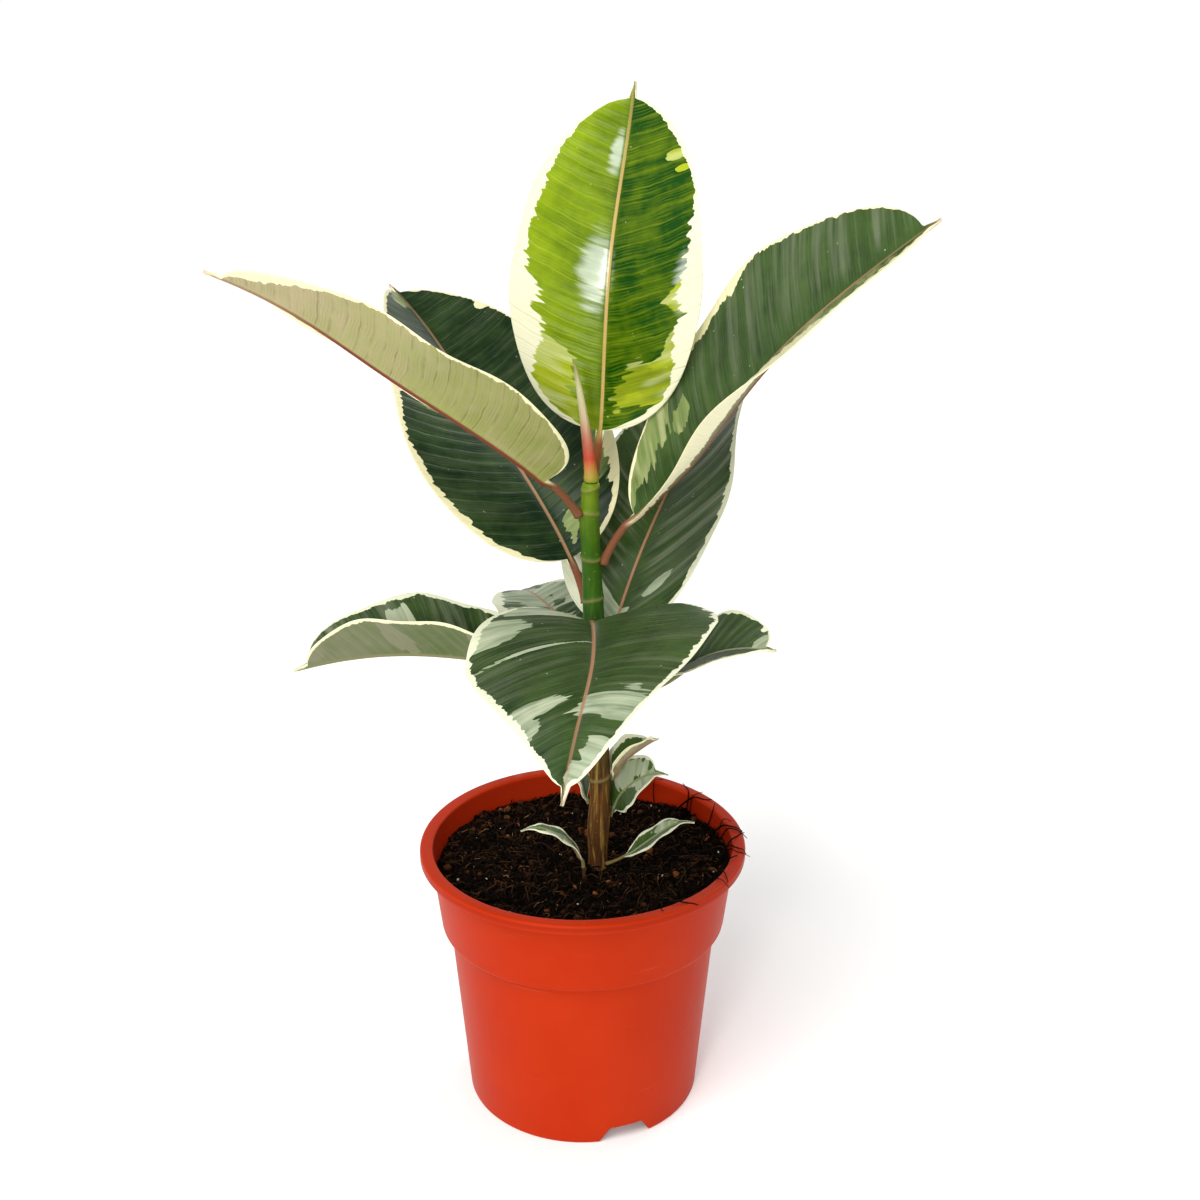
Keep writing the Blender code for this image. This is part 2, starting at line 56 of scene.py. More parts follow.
# ---- pot ---------------------------------------------------------------------------------------
RIM_HEIGHT = POT_HIGH.z
RIM_RADIUS = POT_HIGH.x
POT_WALL = 0.0015
LIP_HEIGHT = 0.0049
COLLAR_LENGTH = 0.0440
COLLAR_STEP = 0.0010
COLLAR_TOP_RADIUS = RIM_RADIUS - 0.0053
COLLAR_LOW_RADIUS = COLLAR_TOP_RADIUS - 0.0051
BODY_TOP_RADIUS = COLLAR_LOW_RADIUS - 0.0043
FOOT_RADIUS = BODY_TOP_RADIUS - 0.0085
FLOOR_RAISE = 0.0090
PAD_RADIUS = 0.0220
PAD_SLOPE = 0.0040
NOTCH_HEIGHT = 0.0082
NOTCH_COUNT = 3
NOTCH_HEADING = -68.5
NOTCH_LOW_HALF_ANGLE = 13.3
NOTCH_TOP_HALF_ANGLE = 8.0
STEP_TOP = RIM_HEIGHT - COLLAR_LENGTH
BODY_LEAN = (BODY_TOP_RADIUS - FOOT_RADIUS) / (STEP_TOP - COLLAR_STEP)

# ---- soil, stem and bud: heights are above the soil ----------------------------------------------
SOIL_MOUND = 0.0065
SOIL_MOUND_HEADING = -40.0
SOIL_DEPTH = 0.0135  # of the soil's level below the rim
SOIL_LEVEL = RIM_HEIGHT - SOIL_DEPTH
SOIL_RADIUS = 0.078
STEM_FOOT = (0.0080, -0.0040)
# (height, drift along X from the foot, radius)
STEM_COURSE = (
    (0.000, 0.0000, 0.0047),
    (0.020, 0.0003, 0.0056),
    (0.040, 0.0012, 0.0053),
    (0.070, 0.0006, 0.0052),
    (0.110, -0.0010, 0.0052),
    (0.139, -0.0018, 0.0052),
    (0.174, -0.0031, 0.0047),
    (0.194, -0.0038, 0.0048),
    (0.210, -0.0032, 0.0039),
)
# (height, how far it stands out): the scars that old leaves and bud sheaths leave round the stem
STEM_RINGS = (
    (0.052, 0.0004),
    (0.072, 0.0003),
    (0.092, 0.0004),
    (0.110, 0.0003),
    (0.130, 0.0005),
    (0.150, 0.0005),
    (0.172, 0.0006),
    (0.194, 0.0006),
    (0.207, 0.0005),
)
SHOOT_PLACE = (0.0013, -0.0165)
SHOOT_RADIUS = 0.0013
BUD_RADIUS = 0.0031
BUD_TIP_RADIUS = 0.00035
BUD_LEAN = -0.0078  # drift of the bud's tip along X

# ---- leaves ------------------------------------------------------------------------------------
LEAF_THICKNESS = 0.0009
PETIOLE_RADIUS = 0.0019
SMALL_PETIOLE_RADIUS = 0.0008
TIP_LENGTH = 0.008
TIP_HALF_WIDTH = 0.0022
TIP_END_HALF_WIDTH = 0.0004
SPIRAL_STEP = 137.5
SPIRAL_START = 76.0
MARGIN_START = 0.955  # share of the half width from which the margin rounds off
VEIN_SPACING = 0.0066
VEIN_BEND = 3.2  # how much a side vein bends towards the tip, per metre outwards

# The values that set each leaf's shape: see leaf_course and half_width.
Leaf = namedtuple("Leaf", "name petiole length width turn rise roll fold curl belly taper")
LARGE_LEAVES = (
    Leaf("leaf_top", 0.027, 0.164, 0.097, (-6, -16), (51, 77, 83, 71, 74),
         (10, 0), (4, 7), 0, 0.92, 0.0),
    Leaf("leaf_left_raised", 0.028, 0.183, 0.099, (-7, -21), (55, 44, 36, 37, 21),
         (19, 20), (14, 8), 0, 0.86, 0.0),
    Leaf("leaf_right_raised", 0.030, 0.204, 0.107, (-12, -9), (69, 50, 55, 44, 37),
         (36, 26), (22, 16), 8, 1.10, 0.10),
    Leaf("leaf_back_left", 0.024, 0.195, 0.111, (-2, 7), (66, 49, 33, 39, 27),
         (-26, 10), (9, 19), 4, 0.93, 0.08),
    Leaf("leaf_front", 0.029, 0.175, 0.112, (4, -10), (58, 29, 4, -6, -53),
         (-3, 29), (15, -2), -6, 0.97, 0.53),
    Leaf("leaf_back_right", 0.014, 0.174, 0.096, (7, 9), (65, 61, 37, 35, 6),
         (0, -25), (8, 19), 4, 0.90, 0.0),
    Leaf("leaf_low_left", 0.023, 0.128, 0.070, (-8, 5), (37, 4, 1, -7, -17),
         (9, 7), (27, 50), 5, 1.05, 0.12),
    Leaf("leaf_low_right", 0.020, 0.104, 0.057, (-2, -7), (38, 25, 41, 25, 9),
         (34, 9), (24, 2), 3, 0.97, 0.08),
    Leaf("leaf_rear", 0.024, 0.108, 0.060, (12, 16), (38, 30, 8, -4, -30),
         (-2, -4), (4, 6), -4, 1.0, 0.05),
)
SMALL_LEAVES = (
    (10, Leaf("small_leaf_right", 0.004, 0.035, 0.020, (4, 50), (80, 68, 26, 8, -20),
              (-10, -8), (40, 46), 6, 1.0, 0.0)),
    (25, Leaf("small_leaf_back", 0.005, 0.041, 0.031, (-14, -60), (62, 70, 48, 31, -2),
              (35, 30), (11, 9), 0, 1.0, 0.0)),
    (150, Leaf("small_leaf_left", 0.004, 0.030, 0.021, (5, 1), (60, 74, 70, 67, 62),
               (12, 6), (7, 4), 0, 1.0, 0.0)),
    (325, Leaf("base_leaf_right", 0.014, 0.040, 0.015, (32, 30), (30, 36, 36, 30, -12),
               (5, 2), (9, 10), -4, 1.0, 0.0)),
    (180, Leaf("base_leaf_left", 0.007, 0.039, 0.013, (5, 9), (88, 70, 42, 20, -26),
               (4, -4), (6, 2), -5, 1.0, 0.0)),
)

# Where each leaf is cream and where it is pale. left and right: the share of the half width at
# which the cream margin starts, at eleven even places from base to tip. cream and pale: spots of
# (place along the blade, place across, half length, half width), all as shares.
Colouring = namedtuple("Colouring", "left right cream pale")
COLOURING = {
    "leaf_top": Colouring(
        (0.70, 0.93, 0.84, 0.66, 0.74, 0.86, 0.87, 0.86, 0.90, 0.93, 0.90),
        (0.55, 0.93, 0.86, 0.78, 0.78, 0.80, 0.88, 0.97, 0.93, 0.86, 0.60),
        (),
        ((0.10, -0.70, 0.07, 0.46), (0.12, 0.72, 0.09, 0.40), (0.33, -0.82, 0.05, 0.16),
         (0.20, -0.86, 0.05, 0.16), (0.75, -0.82, 0.016, 0.17), (0.70, -0.88, 0.013, 0.15)),
    ),
    "leaf_left_raised": Colouring(
        (0.85, 0.95, 0.97, 0.97, 0.98, 0.98, 0.98, 0.96, 0.85, 0.60, 0.30),
        (0.40, 0.55, 0.62, 0.66, 0.62, 0.58, 0.62, 0.66, 0.60, 0.55, 0.30),
        ((0.88, 0.85, 0.06, 0.40),),
        ((0.45, -0.40, 0.10, 0.20),),
    ),
    "leaf_right_raised": Colouring(
        (0.80, 0.95, 0.97, 0.95, 0.89, 0.90, 0.96, 0.96, 0.97, 0.97, 0.90),
        (0.10, 0.10, 0.10, 0.12, 0.14, 0.18, 0.34, 0.55, 0.60, 0.55, 0.30),
        (),
        ((0.08, 0.85, 0.12, 0.42), (0.21, 0.50, 0.045, 0.16), (0.70, -0.30, 0.20, 0.25)),
    ),
    "leaf_back_left": Colouring(
        (0.80, 0.90, 0.91, 0.92, 0.94, 0.94, 0.88, 0.95, 0.95, 0.88, 0.50),
        (0.85, 0.90, 0.84, 0.88, 0.94, 0.96, 0.97, 0.97, 0.96, 0.93, 0.70),
        ((0.565, 0.90, 0.03, 0.30), (0.77, -0.96, 0.020, 0.13), (0.94, -0.84, 0.015, 0.20),
         (0.97, 0.70, 0.03, 0.40)),
        ((0.08, -0.25, 0.05, 0.14), (0.50, 0.52, 0.035, 0.18), (0.20, -0.85, 0.08, 0.25),
         (0.93, 0.40, 0.05, 0.40)),
    ),
    "leaf_front": Colouring(
        (0.85, 0.94, 0.96, 0.96, 0.96, 0.96, 0.95, 0.95, 0.93, 0.88, 0.70),
        (0.80, 0.92, 0.93, 0.94, 0.95, 0.95, 0.93, 0.90, 0.86, 0.84, 0.60),
        ((0.96, 0.70, 0.030, 0.40),),
        ((0.715, 0.50, 0.062, 0.62), (0.86, 0.72, 0.038, 0.42), (0.93, 0.45, 0.045, 0.60),
         (0.655, -0.62, 0.038, 0.46), (0.72, -0.88, 0.060, 0.26),
         (0.20, -0.88, 0.070, 0.36), (0.06, -0.60, 0.050, 0.42), (0.345, -0.50, 0.0055, 0.60)),
    ),
    "leaf_back_right": Colouring(
        (0.70, 0.80, 0.86, 0.88, 0.90, 0.93, 0.94, 0.94, 0.94, 0.90, 0.70),
        (0.80, 0.93, 0.93, 0.93, 0.93, 0.94, 0.94, 0.93, 0.92, 0.88, 0.60),
        ((0.10, 0.80, 0.06, 0.30),),
        ((0.08, -0.50, 0.018, 0.15), (0.04, 0.30, 0.05, 0.35), (0.92, -0.30, 0.06, 0.60),
         (0.30, 0.60, 0.045, 0.12)),
    ),
    "leaf_low_left": Colouring(
        (0.80, 0.90, 0.92, 0.93, 0.93, 0.94, 0.94, 0.94, 0.94, 0.90, 0.60),
        (0.70, 0.85, 0.90, 0.92, 0.93, 0.93, 0.92, 0.92, 0.93, 0.92, 0.60),
        (),
        ((0.50, 0.45, 0.05, 0.45), (0.88, 0.70, 0.04, 0.40), (0.15, 0.50, 0.05, 0.35),
         (0.52, -0.55, 0.06, 0.25), (0.12, -0.60, 0.07, 0.30)),
    ),
    "leaf_low_right": Colouring(
        (0.70, 0.88, 0.90, 0.93, 0.94, 0.93, 0.90, 0.93, 0.92, 0.88, 0.60),
        (0.70, 0.80, 0.84, 0.86, 0.88, 0.90, 0.90, 0.88, 0.86, 0.80, 0.40),
        ((0.77, 0.92, 0.025, 0.20),),
        ((0.88, 0.55, 0.05, 0.50), (0.30, 0.40, 0.10, 0.30)),
    ),
    "leaf_rear": Colouring(
        (0.60, 0.72, 0.75, 0.72, 0.76, 0.80, 0.74, 0.70, 0.76, 0.72, 0.40),
        (0.60, 0.72, 0.75, 0.78, 0.74, 0.70, 0.76, 0.80, 0.74, 0.70, 0.40),
        (),
        ((0.30, 0.40, 0.20, 0.60), (0.65, 0.30, 0.20, 0.70), (0.60, -0.60, 0.20, 0.50)),
    ),
    "small_leaf_right": Colouring(
        (0.60, 0.66, 0.70, 0.72, 0.74, 0.72, 0.70, 0.70, 0.66, 0.60, 0.40),
        (0.60, 0.70, 0.74, 0.74, 0.76, 0.76, 0.74, 0.70, 0.66, 0.60, 0.40),
        (),
        ((0.30, -0.50, 0.20, 0.40), (0.80, 0.30, 0.15, 0.50)),
    ),
    "small_leaf_back": Colouring(
        (0.70, 0.80, 0.84, 0.86, 0.86, 0.84, 0.82, 0.80, 0.76, 0.66, 0.40),
        (0.70, 0.80, 0.84, 0.86, 0.86, 0.84, 0.82, 0.80, 0.76, 0.66, 0.40),
        (),
        ((0.40, 0.50, 0.30, 0.60), (0.75, -0.30, 0.20, 0.60)),
    ),
    "small_leaf_left": Colouring(
        (0.40, 0.46, 0.50, 0.52, 0.54, 0.56, 0.54, 0.50, 0.46, 0.40, 0.30),
        (0.70, 0.80, 0.84, 0.86, 0.86, 0.84, 0.82, 0.80, 0.76, 0.66, 0.40),
        (),
        (),
    ),
    "base_leaf_right": Colouring(
        (0.70, 0.76, 0.80, 0.80, 0.80, 0.80, 0.80, 0.78, 0.74, 0.66, 0.40),
        (0.66, 0.70, 0.74, 0.76, 0.76, 0.76, 0.74, 0.72, 0.70, 0.60, 0.40),
        (),
        ((0.60, 0.40, 0.20, 0.40),),
    ),
    "base_leaf_left": Colouring(
        (0.60, 0.66, 0.70, 0.72, 0.72, 0.70, 0.70, 0.68, 0.64, 0.56, 0.30),
        (0.60, 0.66, 0.70, 0.72, 0.72, 0.70, 0.70, 0.68, 0.64, 0.56, 0.30),
        (),
        ((0.40, 0.30, 0.20, 0.50),),
    ),
}
# Glossiest places of the young leaf, given as the spots above: each gets a coat and a painted highlight.
GLOSSY_SPOTS = ((0.46, 0.14, 0.14, 0.22), (0.80, 0.10, 0.08, 0.14), (0.45, -0.84, 0.12, 0.16))

# lightness: how far a leaf's green lies from its deep tone towards its bright one. slant: how far
# its side veins climb towards the tip for each step outwards. sheen: strength of its painted sheen,
# pale grey-green streaks painted along the veins as light glancing off the quilted blade.
Habit = namedtuple("Habit", "lightness slant sheen")
SMALL_HABIT = Habit(0.25, 0.30, 0.15)
# The lightness of leaf_right_raised and leaf_back_right is partly their own green and partly painted light:
# both are painted brighter, as lit from the front with a glossy sheen.
HABITS = {
    "leaf_top": Habit(0.04, 0.22, 0.0),
    "leaf_left_raised": Habit(0.30, 0.25, 0.10),
    "leaf_right_raised": Habit(0.30, 0.20, 0.34),
    "leaf_back_left": Habit(0.0, 0.16, 0.10),
    "leaf_front": Habit(0.20, 0.30, 0.24),
    "leaf_back_right": Habit(0.34, 0.62, 0.75),
    "leaf_low_left": Habit(0.25, 0.30, 0.45),
    "leaf_low_right": Habit(0.16, 0.35, 0.20),
    "leaf_rear": Habit(0.35, 0.30, 0.20),
}


# ---- numbers -----------------------------------------------------------------------------------
def through(knots, values, places):
    """Smooth curve through (knots, values), read at places: cubic pieces that share their slopes."""
    knots = np.asarray(knots, float)
    values = np.asarray(values, float)
    gaps = np.diff(knots)
    rates = np.diff(values) / gaps
    slopes = np.empty(len(knots))
    slopes[0] = rates[0]
    slopes[-1] = rates[-1]
    slopes[1:-1] = (rates[:-1] * gaps[1:] + rates[1:] * gaps[:-1]) / (gaps[1:] + gaps[:-1])
    piece = np.clip(np.searchsorted(knots, places) - 1, 0, len(gaps) - 1)
    gap = gaps[piece]
    u = np.clip((places - knots[piece]) / gap, 0, 1)
    start = (1 + 2 * u) * (1 - u) ** 2 * values[piece]
    start_slope = u * (1 - u) ** 2 * gap * slopes[piece]
    end = u**2 * (3 - 2 * u) * values[piece + 1]
    end_slope = u**2 * (u - 1) * gap * slopes[piece + 1]
    return start + start_slope + end + end_slope


def smooth_step(x):
    x = np.clip(x, 0, 1)
    return x * x * (3 - 2 * x)


def grain(points, size, seed):
    """Smooth noise from -1 to 1: each corner of a cubic lattice of the given size gets a number
    from a hash of its whole coordinates, and a point blends the eight corners around it."""
    scaled = np.asarray(points, float) / size + seed * 17.31
    corner = np.floor(scaled)
    blend = smooth_step(scaled - corner)
    total = 0
    for step in np.ndindex(2, 2, 2):
        x, y, z = np.moveaxis(corner + step, -1, 0)
        wave = np.sin(x * 127.1 + y * 311.7 + z * 74.7 + seed * 13.7) * 43758.5453
        value = wave - np.floor(wave)
        weight = np.prod(np.where(step, blend, 1 - blend), axis=-1)
        total = total + value * weight
    return 2 * total - 1


def turned_about_z(points, degrees):
    angle = math.radians(degrees)
    x, y, z = np.moveaxis(points, -1, 0)
    return np.stack([
        x * math.cos(angle) - y * math.sin(angle),
        x * math.sin(angle) + y * math.cos(angle),
        z,
    ], -1)


# ---- meshes ------------------------------------------------------------------------------------
def closed_grid(rows, around):
    """Quads of a grid of rows, each a closed loop of points."""
    row, k = np.meshgrid(np.arange(rows - 1), np.arange(around), indexing="ij")
    here = row * around + k
    beside = row * around + (k + 1) % around
    return np.stack([here, beside, beside + around, here + around], -1).reshape(-1, 4)


def end_caps(rows, around):
    """The two faces that close a grid of rows, each a closed loop of points."""
    last = (rows - 1) * around
    return [np.arange(around)[::-1], last + np.arange(around)]


def copies(faces, count, size):
    """Faces of equal meshes one after another, from the faces of one that has size points."""
    return (faces[None] + np.arange(count)[:, None, None] * size).reshape(-1, faces.shape[1])


def make_piece(name, points, quads, caps=(), fields=None, node=None):
    """A mesh object from whole arrays of points and quads, with caps as further faces and fields
    as one number for each point. It rides on the plant's one body."""
    mesh = bpy.data.meshes.new(name)
    faces = [*quads.tolist(), *[list(map(int, cap)) for cap in caps]]
    mesh.from_pydata(points.reshape(-1, 3).tolist(), [], faces)
    for field, values in (fields or {}).items():
        layer = mesh.attributes.new(field, "FLOAT", "POINT")
        layer.data.foreach_set("value", np.ravel(values).astype(np.float32))
    mesh.shade_smooth()
    mesh.update()
    piece = bpy.data.objects.new(name, mesh)
    bpy.context.scene.collection.objects.link(piece)
    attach(piece, "root")
    if node:
        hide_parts(node)
    return piece


def tube(line, radii, sides):
    """Rings of points around a line of points: each ring lies across the line's own direction."""
    ahead = np.gradient(line, axis=0)
    ahead = ahead / np.linalg.norm(ahead, axis=-1, keepdims=True)
    level = np.cross(ahead, (0.31, 0.17, 0.93))
    level = level / np.linalg.norm(level, axis=-1, keepdims=True)
    across = np.cross(ahead, level)
    turns = np.arange(sides)[:, None] * 2 * math.pi / sides
    ring = level[:, None] * np.cos(turns) + across[:, None] * np.sin(turns)
    return line[:, None] + ring * np.broadcast_to(radii, line.shape[:1])[:, None, None]


# ---- materials ---------------------------------------------------------------------------------
class Wire:
    """A socket's value. Sums, differences, products and quotients of it add Math nodes."""

    def __init__(self, finish, socket):
        self.finish = finish
        self.socket = socket

    def math(self, operation, first, second=0.0, clamp=False):
        settings = {"operation": operation, "use_clamp": clamp}
        return self.finish.node("ShaderNodeMath", settings, {0: first, 1: second})

    def __add__(self, other):
        return self.math("ADD", self, other)

    def __sub__(self, other):
        return self.math("SUBTRACT", self, other)

    def __mul__(self, other):
        return self.math("MULTIPLY", self, other)

    def __truediv__(self, other):
        return self.math("DIVIDE", self, other)

    def __rsub__(self, other):
        return self.math("SUBTRACT", other, self)

    __radd__ = __add__
    __rmul__ = __mul__

    def size(self):
        return self.math("ABSOLUTE", self)

    def clamped(self):
        return self.math("ADD", self, 0.0, clamp=True)

    def ramp(self, low, high):
        """0 below low, 1 above high and a smooth rise between. It falls where high is below low."""
        inputs = {"Value": self, "From Min": low, "From Max": high}
        return self.finish.node("ShaderNodeMapRange", {"interpolation_type": "SMOOTHSTEP"}, inputs)


class Finish:
    """A material that is built from nodes around one Principled shader."""

    def __init__(self, name, **fixed):
        self.material = bpy.data.materials.new(name)
        self.material.use_nodes = True
        self.tree = self.material.node_tree
        self.shader = self.tree.nodes["Principled BSDF"]
        for socket, value in fixed.items():
            self.shader.inputs[socket.replace("_", " ")].default_value = value

    def node(self, kind, settings=None, inputs=None, output=0):
        """Adds a node, makes its settings first, then sets or links its sockets."""
        made = self.tree.nodes.new(kind)
        for key, value in (settings or {}).items():
            if key == "stops":
                self.set_stops(made.color_ramp, value)
            else:
                setattr(made, key, value)
        for key, value in (inputs or {}).items():
            if isinstance(value, Wire):
                self.tree.links.new(value.socket, made.inputs[key])
            elif isinstance(value, tuple) and len(value) == 3 and made.inputs[key].type == "RGBA":
                made.inputs[key].default_value = (*value, 1.0)
            else:
                made.inputs[key].default_value = value
        return Wire(self, made.outputs[output])

    def set_stops(self, ramp, stops):
        while len(ramp.elements) < len(stops):
            ramp.elements.new(0.5)
        for element, (place, colour) in zip(ramp.elements, stops):
            element.position = place
            element.color = (*colour, 1.0)

    def field(self, name):
        return self.node("ShaderNodeAttribute", {"attribute_name": name}, output=2)

    def place(self):
        """Object coordinates."""
        return self.node("ShaderNodeTexCoord", output=3)

    def height(self):
        """Object coordinate Z."""
        return self.node("ShaderNodeSeparateXYZ", None, {0: self.place()}, output=2)

    def point(self, x, y, z=0.0):
        return self.node("ShaderNodeCombineXYZ", None, {0: x, 1: y, 2: z})

    def noise(self, point, scale, detail=3.0, roughness=0.55):
        inputs = {"Vector": point, "Scale": scale, "Detail": detail, "Roughness": roughness}
        return self.node("ShaderNodeTexNoise", None, inputs)

    def stretched(self, *scale):
        """Object coordinates times a scale for each axis, for grain that is drawn out one way."""
        return self.node("ShaderNodeMapping", None, {"Vector": self.place(), "Scale": scale})

    def mix(self, factor, first, second):
        """A blend of two colours, from the first at 0 to the second at 1."""
        inputs = {0: factor, 6: first, 7: second}
        return self.node("ShaderNodeMix", {"data_type": "RGBA"}, inputs, output=2)

    def colours(self, value, *stops):
        return self.node("ShaderNodeValToRGB", {"stops": stops}, {0: value})

    def bump(self, height, strength, distance):
        inputs = {"Height": height, "Strength": strength, "Distance": distance}
        return self.node("ShaderNodeBump", None, inputs)

    def use(self, **wires):
        for socket, wire in wires.items():
            self.tree.links.new(wire.socket, self.shader.inputs[socket.replace("_", " ")])

    def paint(self, piece):
        piece.data.materials.clear()
        piece.data.materials.append(self.material)


# Painted light: the underside's cream tone is painted brighter than the upper side's, as light bounced up
# from below.
LeafTones = namedtuple(
    "LeafTones",
    "deep bright pale cream vein rib stalk under_green under_pale under_vein under_rib under_cream",
)
YOUNG_TONES = LeafTones(
    deep=(0.003, 0.046, 0.0005), bright=(0.240, 0.345, 0.0005), pale=(0.330, 0.390, 0.014),
    cream=(0.720, 0.710, 0.510), vein=(0.330, 0.420, 0.010), rib=(0.480, 0.330, 0.110),
    stalk=(0.230, 0.045, 0.014), under_green=(0.200, 0.260, 0.050),
    under_pale=(0.360, 0.400, 0.110), under_vein=(0.260, 0.200, 0.070), under_rib=(0.360, 0.190, 0.070),
    under_cream=(0.760, 0.740, 0.440),
)
GROWN_TONES = LeafTones(
    deep=(0.003, 0.016, 0.004), bright=(0.066, 0.120, 0.026), pale=(0.330, 0.390, 0.260),
    cream=(0.660, 0.680, 0.500), vein=(0.105, 0.160, 0.060), rib=(0.330, 0.170, 0.095),
    stalk=(0.155, 0.042, 0.017), under_green=(0.130, 0.150, 0.045),
    under_pale=(0.300, 0.270, 0.150), under_vein=(0.110, 0.090, 0.040), under_rib=(0.180, 0.050, 0.028),
    under_cream=(0.800, 0.760, 0.480),
)
UPPER_TONES = GROWN_TONES._replace(
    pale=(0.195, 0.255, 0.080), cream=(0.760, 0.710, 0.440), rib=(0.290, 0.170, 0.090)
)
OLIVE_TONES = UPPER_TONES._replace(
    under_green=(0.270, 0.300, 0.080), under_pale=(0.430, 0.350, 0.210),
    under_vein=(0.130, 0.085, 0.030), under_rib=(0.170, 0.040, 0.020),
)
LOW_TONES = GROWN_TONES._replace(
    under_green=(0.075, 0.120, 0.028), under_pale=(0.210, 0.215, 0.130),
    under_vein=(0.160, 0.150, 0.060), under_rib=(0.200, 0.190, 0.090), rib=(0.300, 0.300, 0.180),
)
SMALL_TONES = GROWN_TONES._replace(
    deep=(0.008, 0.034, 0.005), bright=(0.095, 0.165, 0.030), rib=(0.210, 0.240, 0.110),
    stalk=(0.130, 0.080, 0.022), under_green=(0.180, 0.200, 0.080),
    under_pale=(0.380, 0.300, 0.190), under_rib=(0.260, 0.160, 0.080),
)


def leaf_finish(name, tones, roughness, gloss):
    """Variegated leaf. The fields cream and pale are above 0 inside their zones, and noise that is
    drawn out along the side veins makes the zones' edges ragged. Side veins lie at even steps of
    the field vein, and the midrib where the field reach is near 0. Glossy spots get both a coat
    and a painted highlight, a paler colour that stands in for glare, and gloss is the strength of both."""
    finish = Finish(name, Coat_Roughness=0.22, Specular_IOR_Level=0.11)
    vein = finish.field("vein")
    reach = finish.field("reach")
    along = finish.field("along")
    under = finish.field("under")
    side = finish.field("side")
    far = reach.size()

    lobes = finish.noise(finish.point(vein * 120.0, far * 26.0, side * 3.0), 1.0, 2.0, 0.45)
    teeth = finish.noise(finish.point(vein * 420.0, far * 60.0, side * 5.0), 1.0, 1.0)
    streaks = finish.noise(finish.point(vein * 330.0, far * 20.0, side * 9.0), 1.0, 4.0, 0.6)
    broad = finish.noise(finish.point(vein * 34.0, far * 26.0, side * 7.0), 1.0, 3.0)
    ragged = (lobes - 0.5) * 1.5 + (teeth - 0.5) * 0.90
    in_cream = (finish.field("cream") + ragged * 0.75).ramp(-0.03, 0.03)
    in_pale = (finish.field("pale") + ragged * 0.95 + (broad - 0.5) * 1.5).ramp(-0.03, 0.03)

    wander = finish.noise(finish.point(vein * 60.0, reach * 45.0), 1.0, 2.0)
    course = vein + (wander - 0.5) * 0.0044
    step = course / VEIN_SPACING
    off_vein = (step.math("FRACT", step) - 0.5).size() * 2.0
    uneven = finish.noise(finish.point(vein * 95.0, far * 70.0, side), 1.0, 2.0).ramp(0.3, 0.7)
    main_vein = off_vein.ramp(0.72, 1.0) * far.ramp(0.0, 0.004) * (0.45 + uneven * 0.55)
    fine = course / (VEIN_SPACING / 4.3)
    fine_vein = ((fine.math("FRACT", fine) - 0.5).size() * 2.0).ramp(0.4, 1.0) * uneven
    fading = 1.0 - along.ramp(0.6, 1.0) * 0.6
    rib = far.ramp(0.0011, 0.0005) * fading

    mottled = finish.noise(finish.place(), 60.0, 4.0, 0.6)
    # Painted light: on the young leaf the field tone paints the left half brighter, as lit.
    light = (mottled - 0.5) * 0.9 + (streaks - 0.5) * 0.65 + finish.field("tone") + 0.10
    green = finish.mix(light.clamped(), tones.deep, tones.bright)
    # Painted sheen: pale grey-green streaks along the veins are painted into the green, as light glancing
    # off the quilting.
    painted_sheen_streaks = finish.noise(finish.point(vein * 170.0, far * 9.0, side * 11.0), 1.0, 3.0, 0.6)
    painted_sheen = painted_sheen_streaks.ramp(0.44, 0.70) * far.ramp(0.002, 0.014) * finish.field("sheen") * (0.6 + along * 0.7)
    green = finish.mix(painted_sheen.clamped(), green, (0.220, 0.235, 0.170))
    green = finish.mix(main_vein * 0.22 + fine_vein * 0.16, green, tones.vein)
    coat_and_painted_glare = (finish.field("gloss") + (streaks - 0.5) * 1.3 - main_vein * 0.2).ramp(0.0, 0.6) * gloss
    # Painted highlight: besides their coat, the glossy spots are painted paler, as glare.
    green = finish.mix(coat_and_painted_glare * far.ramp(0.0010, 0.0022) * 0.40, green, (0.800, 0.880, 0.820))
    pale = finish.mix((streaks.ramp(0.40, 0.62) * 0.35 + broad.ramp(0.5, 0.62) * 0.3), tones.pale, green)
    pale = finish.mix(lobes.ramp(0.48, 0.62) * 0.22, pale, tones.cream)
    cream = finish.mix(main_vein * 0.10 + fine_vein * 0.05, tones.cream, tones.pale)
    upper = finish.mix(in_pale, green, pale)
    upper = finish.mix(in_cream, upper, cream)
    upper = finish.mix(rib, upper, tones.rib)

    clouded = mottled.ramp(0.3, 0.75) * 0.30 + streaks.ramp(0.4, 0.65) * 0.2 + along.ramp(0.3, 1.0) * 0.6
    low_green = finish.mix(clouded.clamped(), tones.under_green, tones.under_pale)
    lower = finish.mix(in_pale * 0.8, low_green, tones.under_pale)
    lower = finish.mix(main_vein * uneven * 0.42 + fine_vein * 0.20, lower, tones.under_vein)
    # Painted light: the underside's cream is painted brighter, as light bounced up from below.
    lower = finish.mix(in_cream, lower, tones.under_cream)
    lower = finish.mix(far.ramp(0.0019, 0.0010) * fading, lower, tones.under_rib)
    colour = finish.mix(under.ramp(0.45, 0.55), upper, lower)
    stalk = finish.mix(streaks.ramp(0.35, 0.65) * 0.35, tones.stalk, tones.rib)
    colour = finish.mix(finish.field("stalk"), colour, stalk)

    dots = finish.node("ShaderNodeTexVoronoi", None, {"Vector": finish.place(), "Scale": 330.0})
    chosen = finish.noise(finish.place(), 130.0, 2.0).ramp(0.62, 0.68)
    speck = dots.ramp(0.17, 0.09) * chosen * (1.0 - under)
    colour = finish.mix(speck * 0.5, colour, (0.60, 0.63, 0.55))

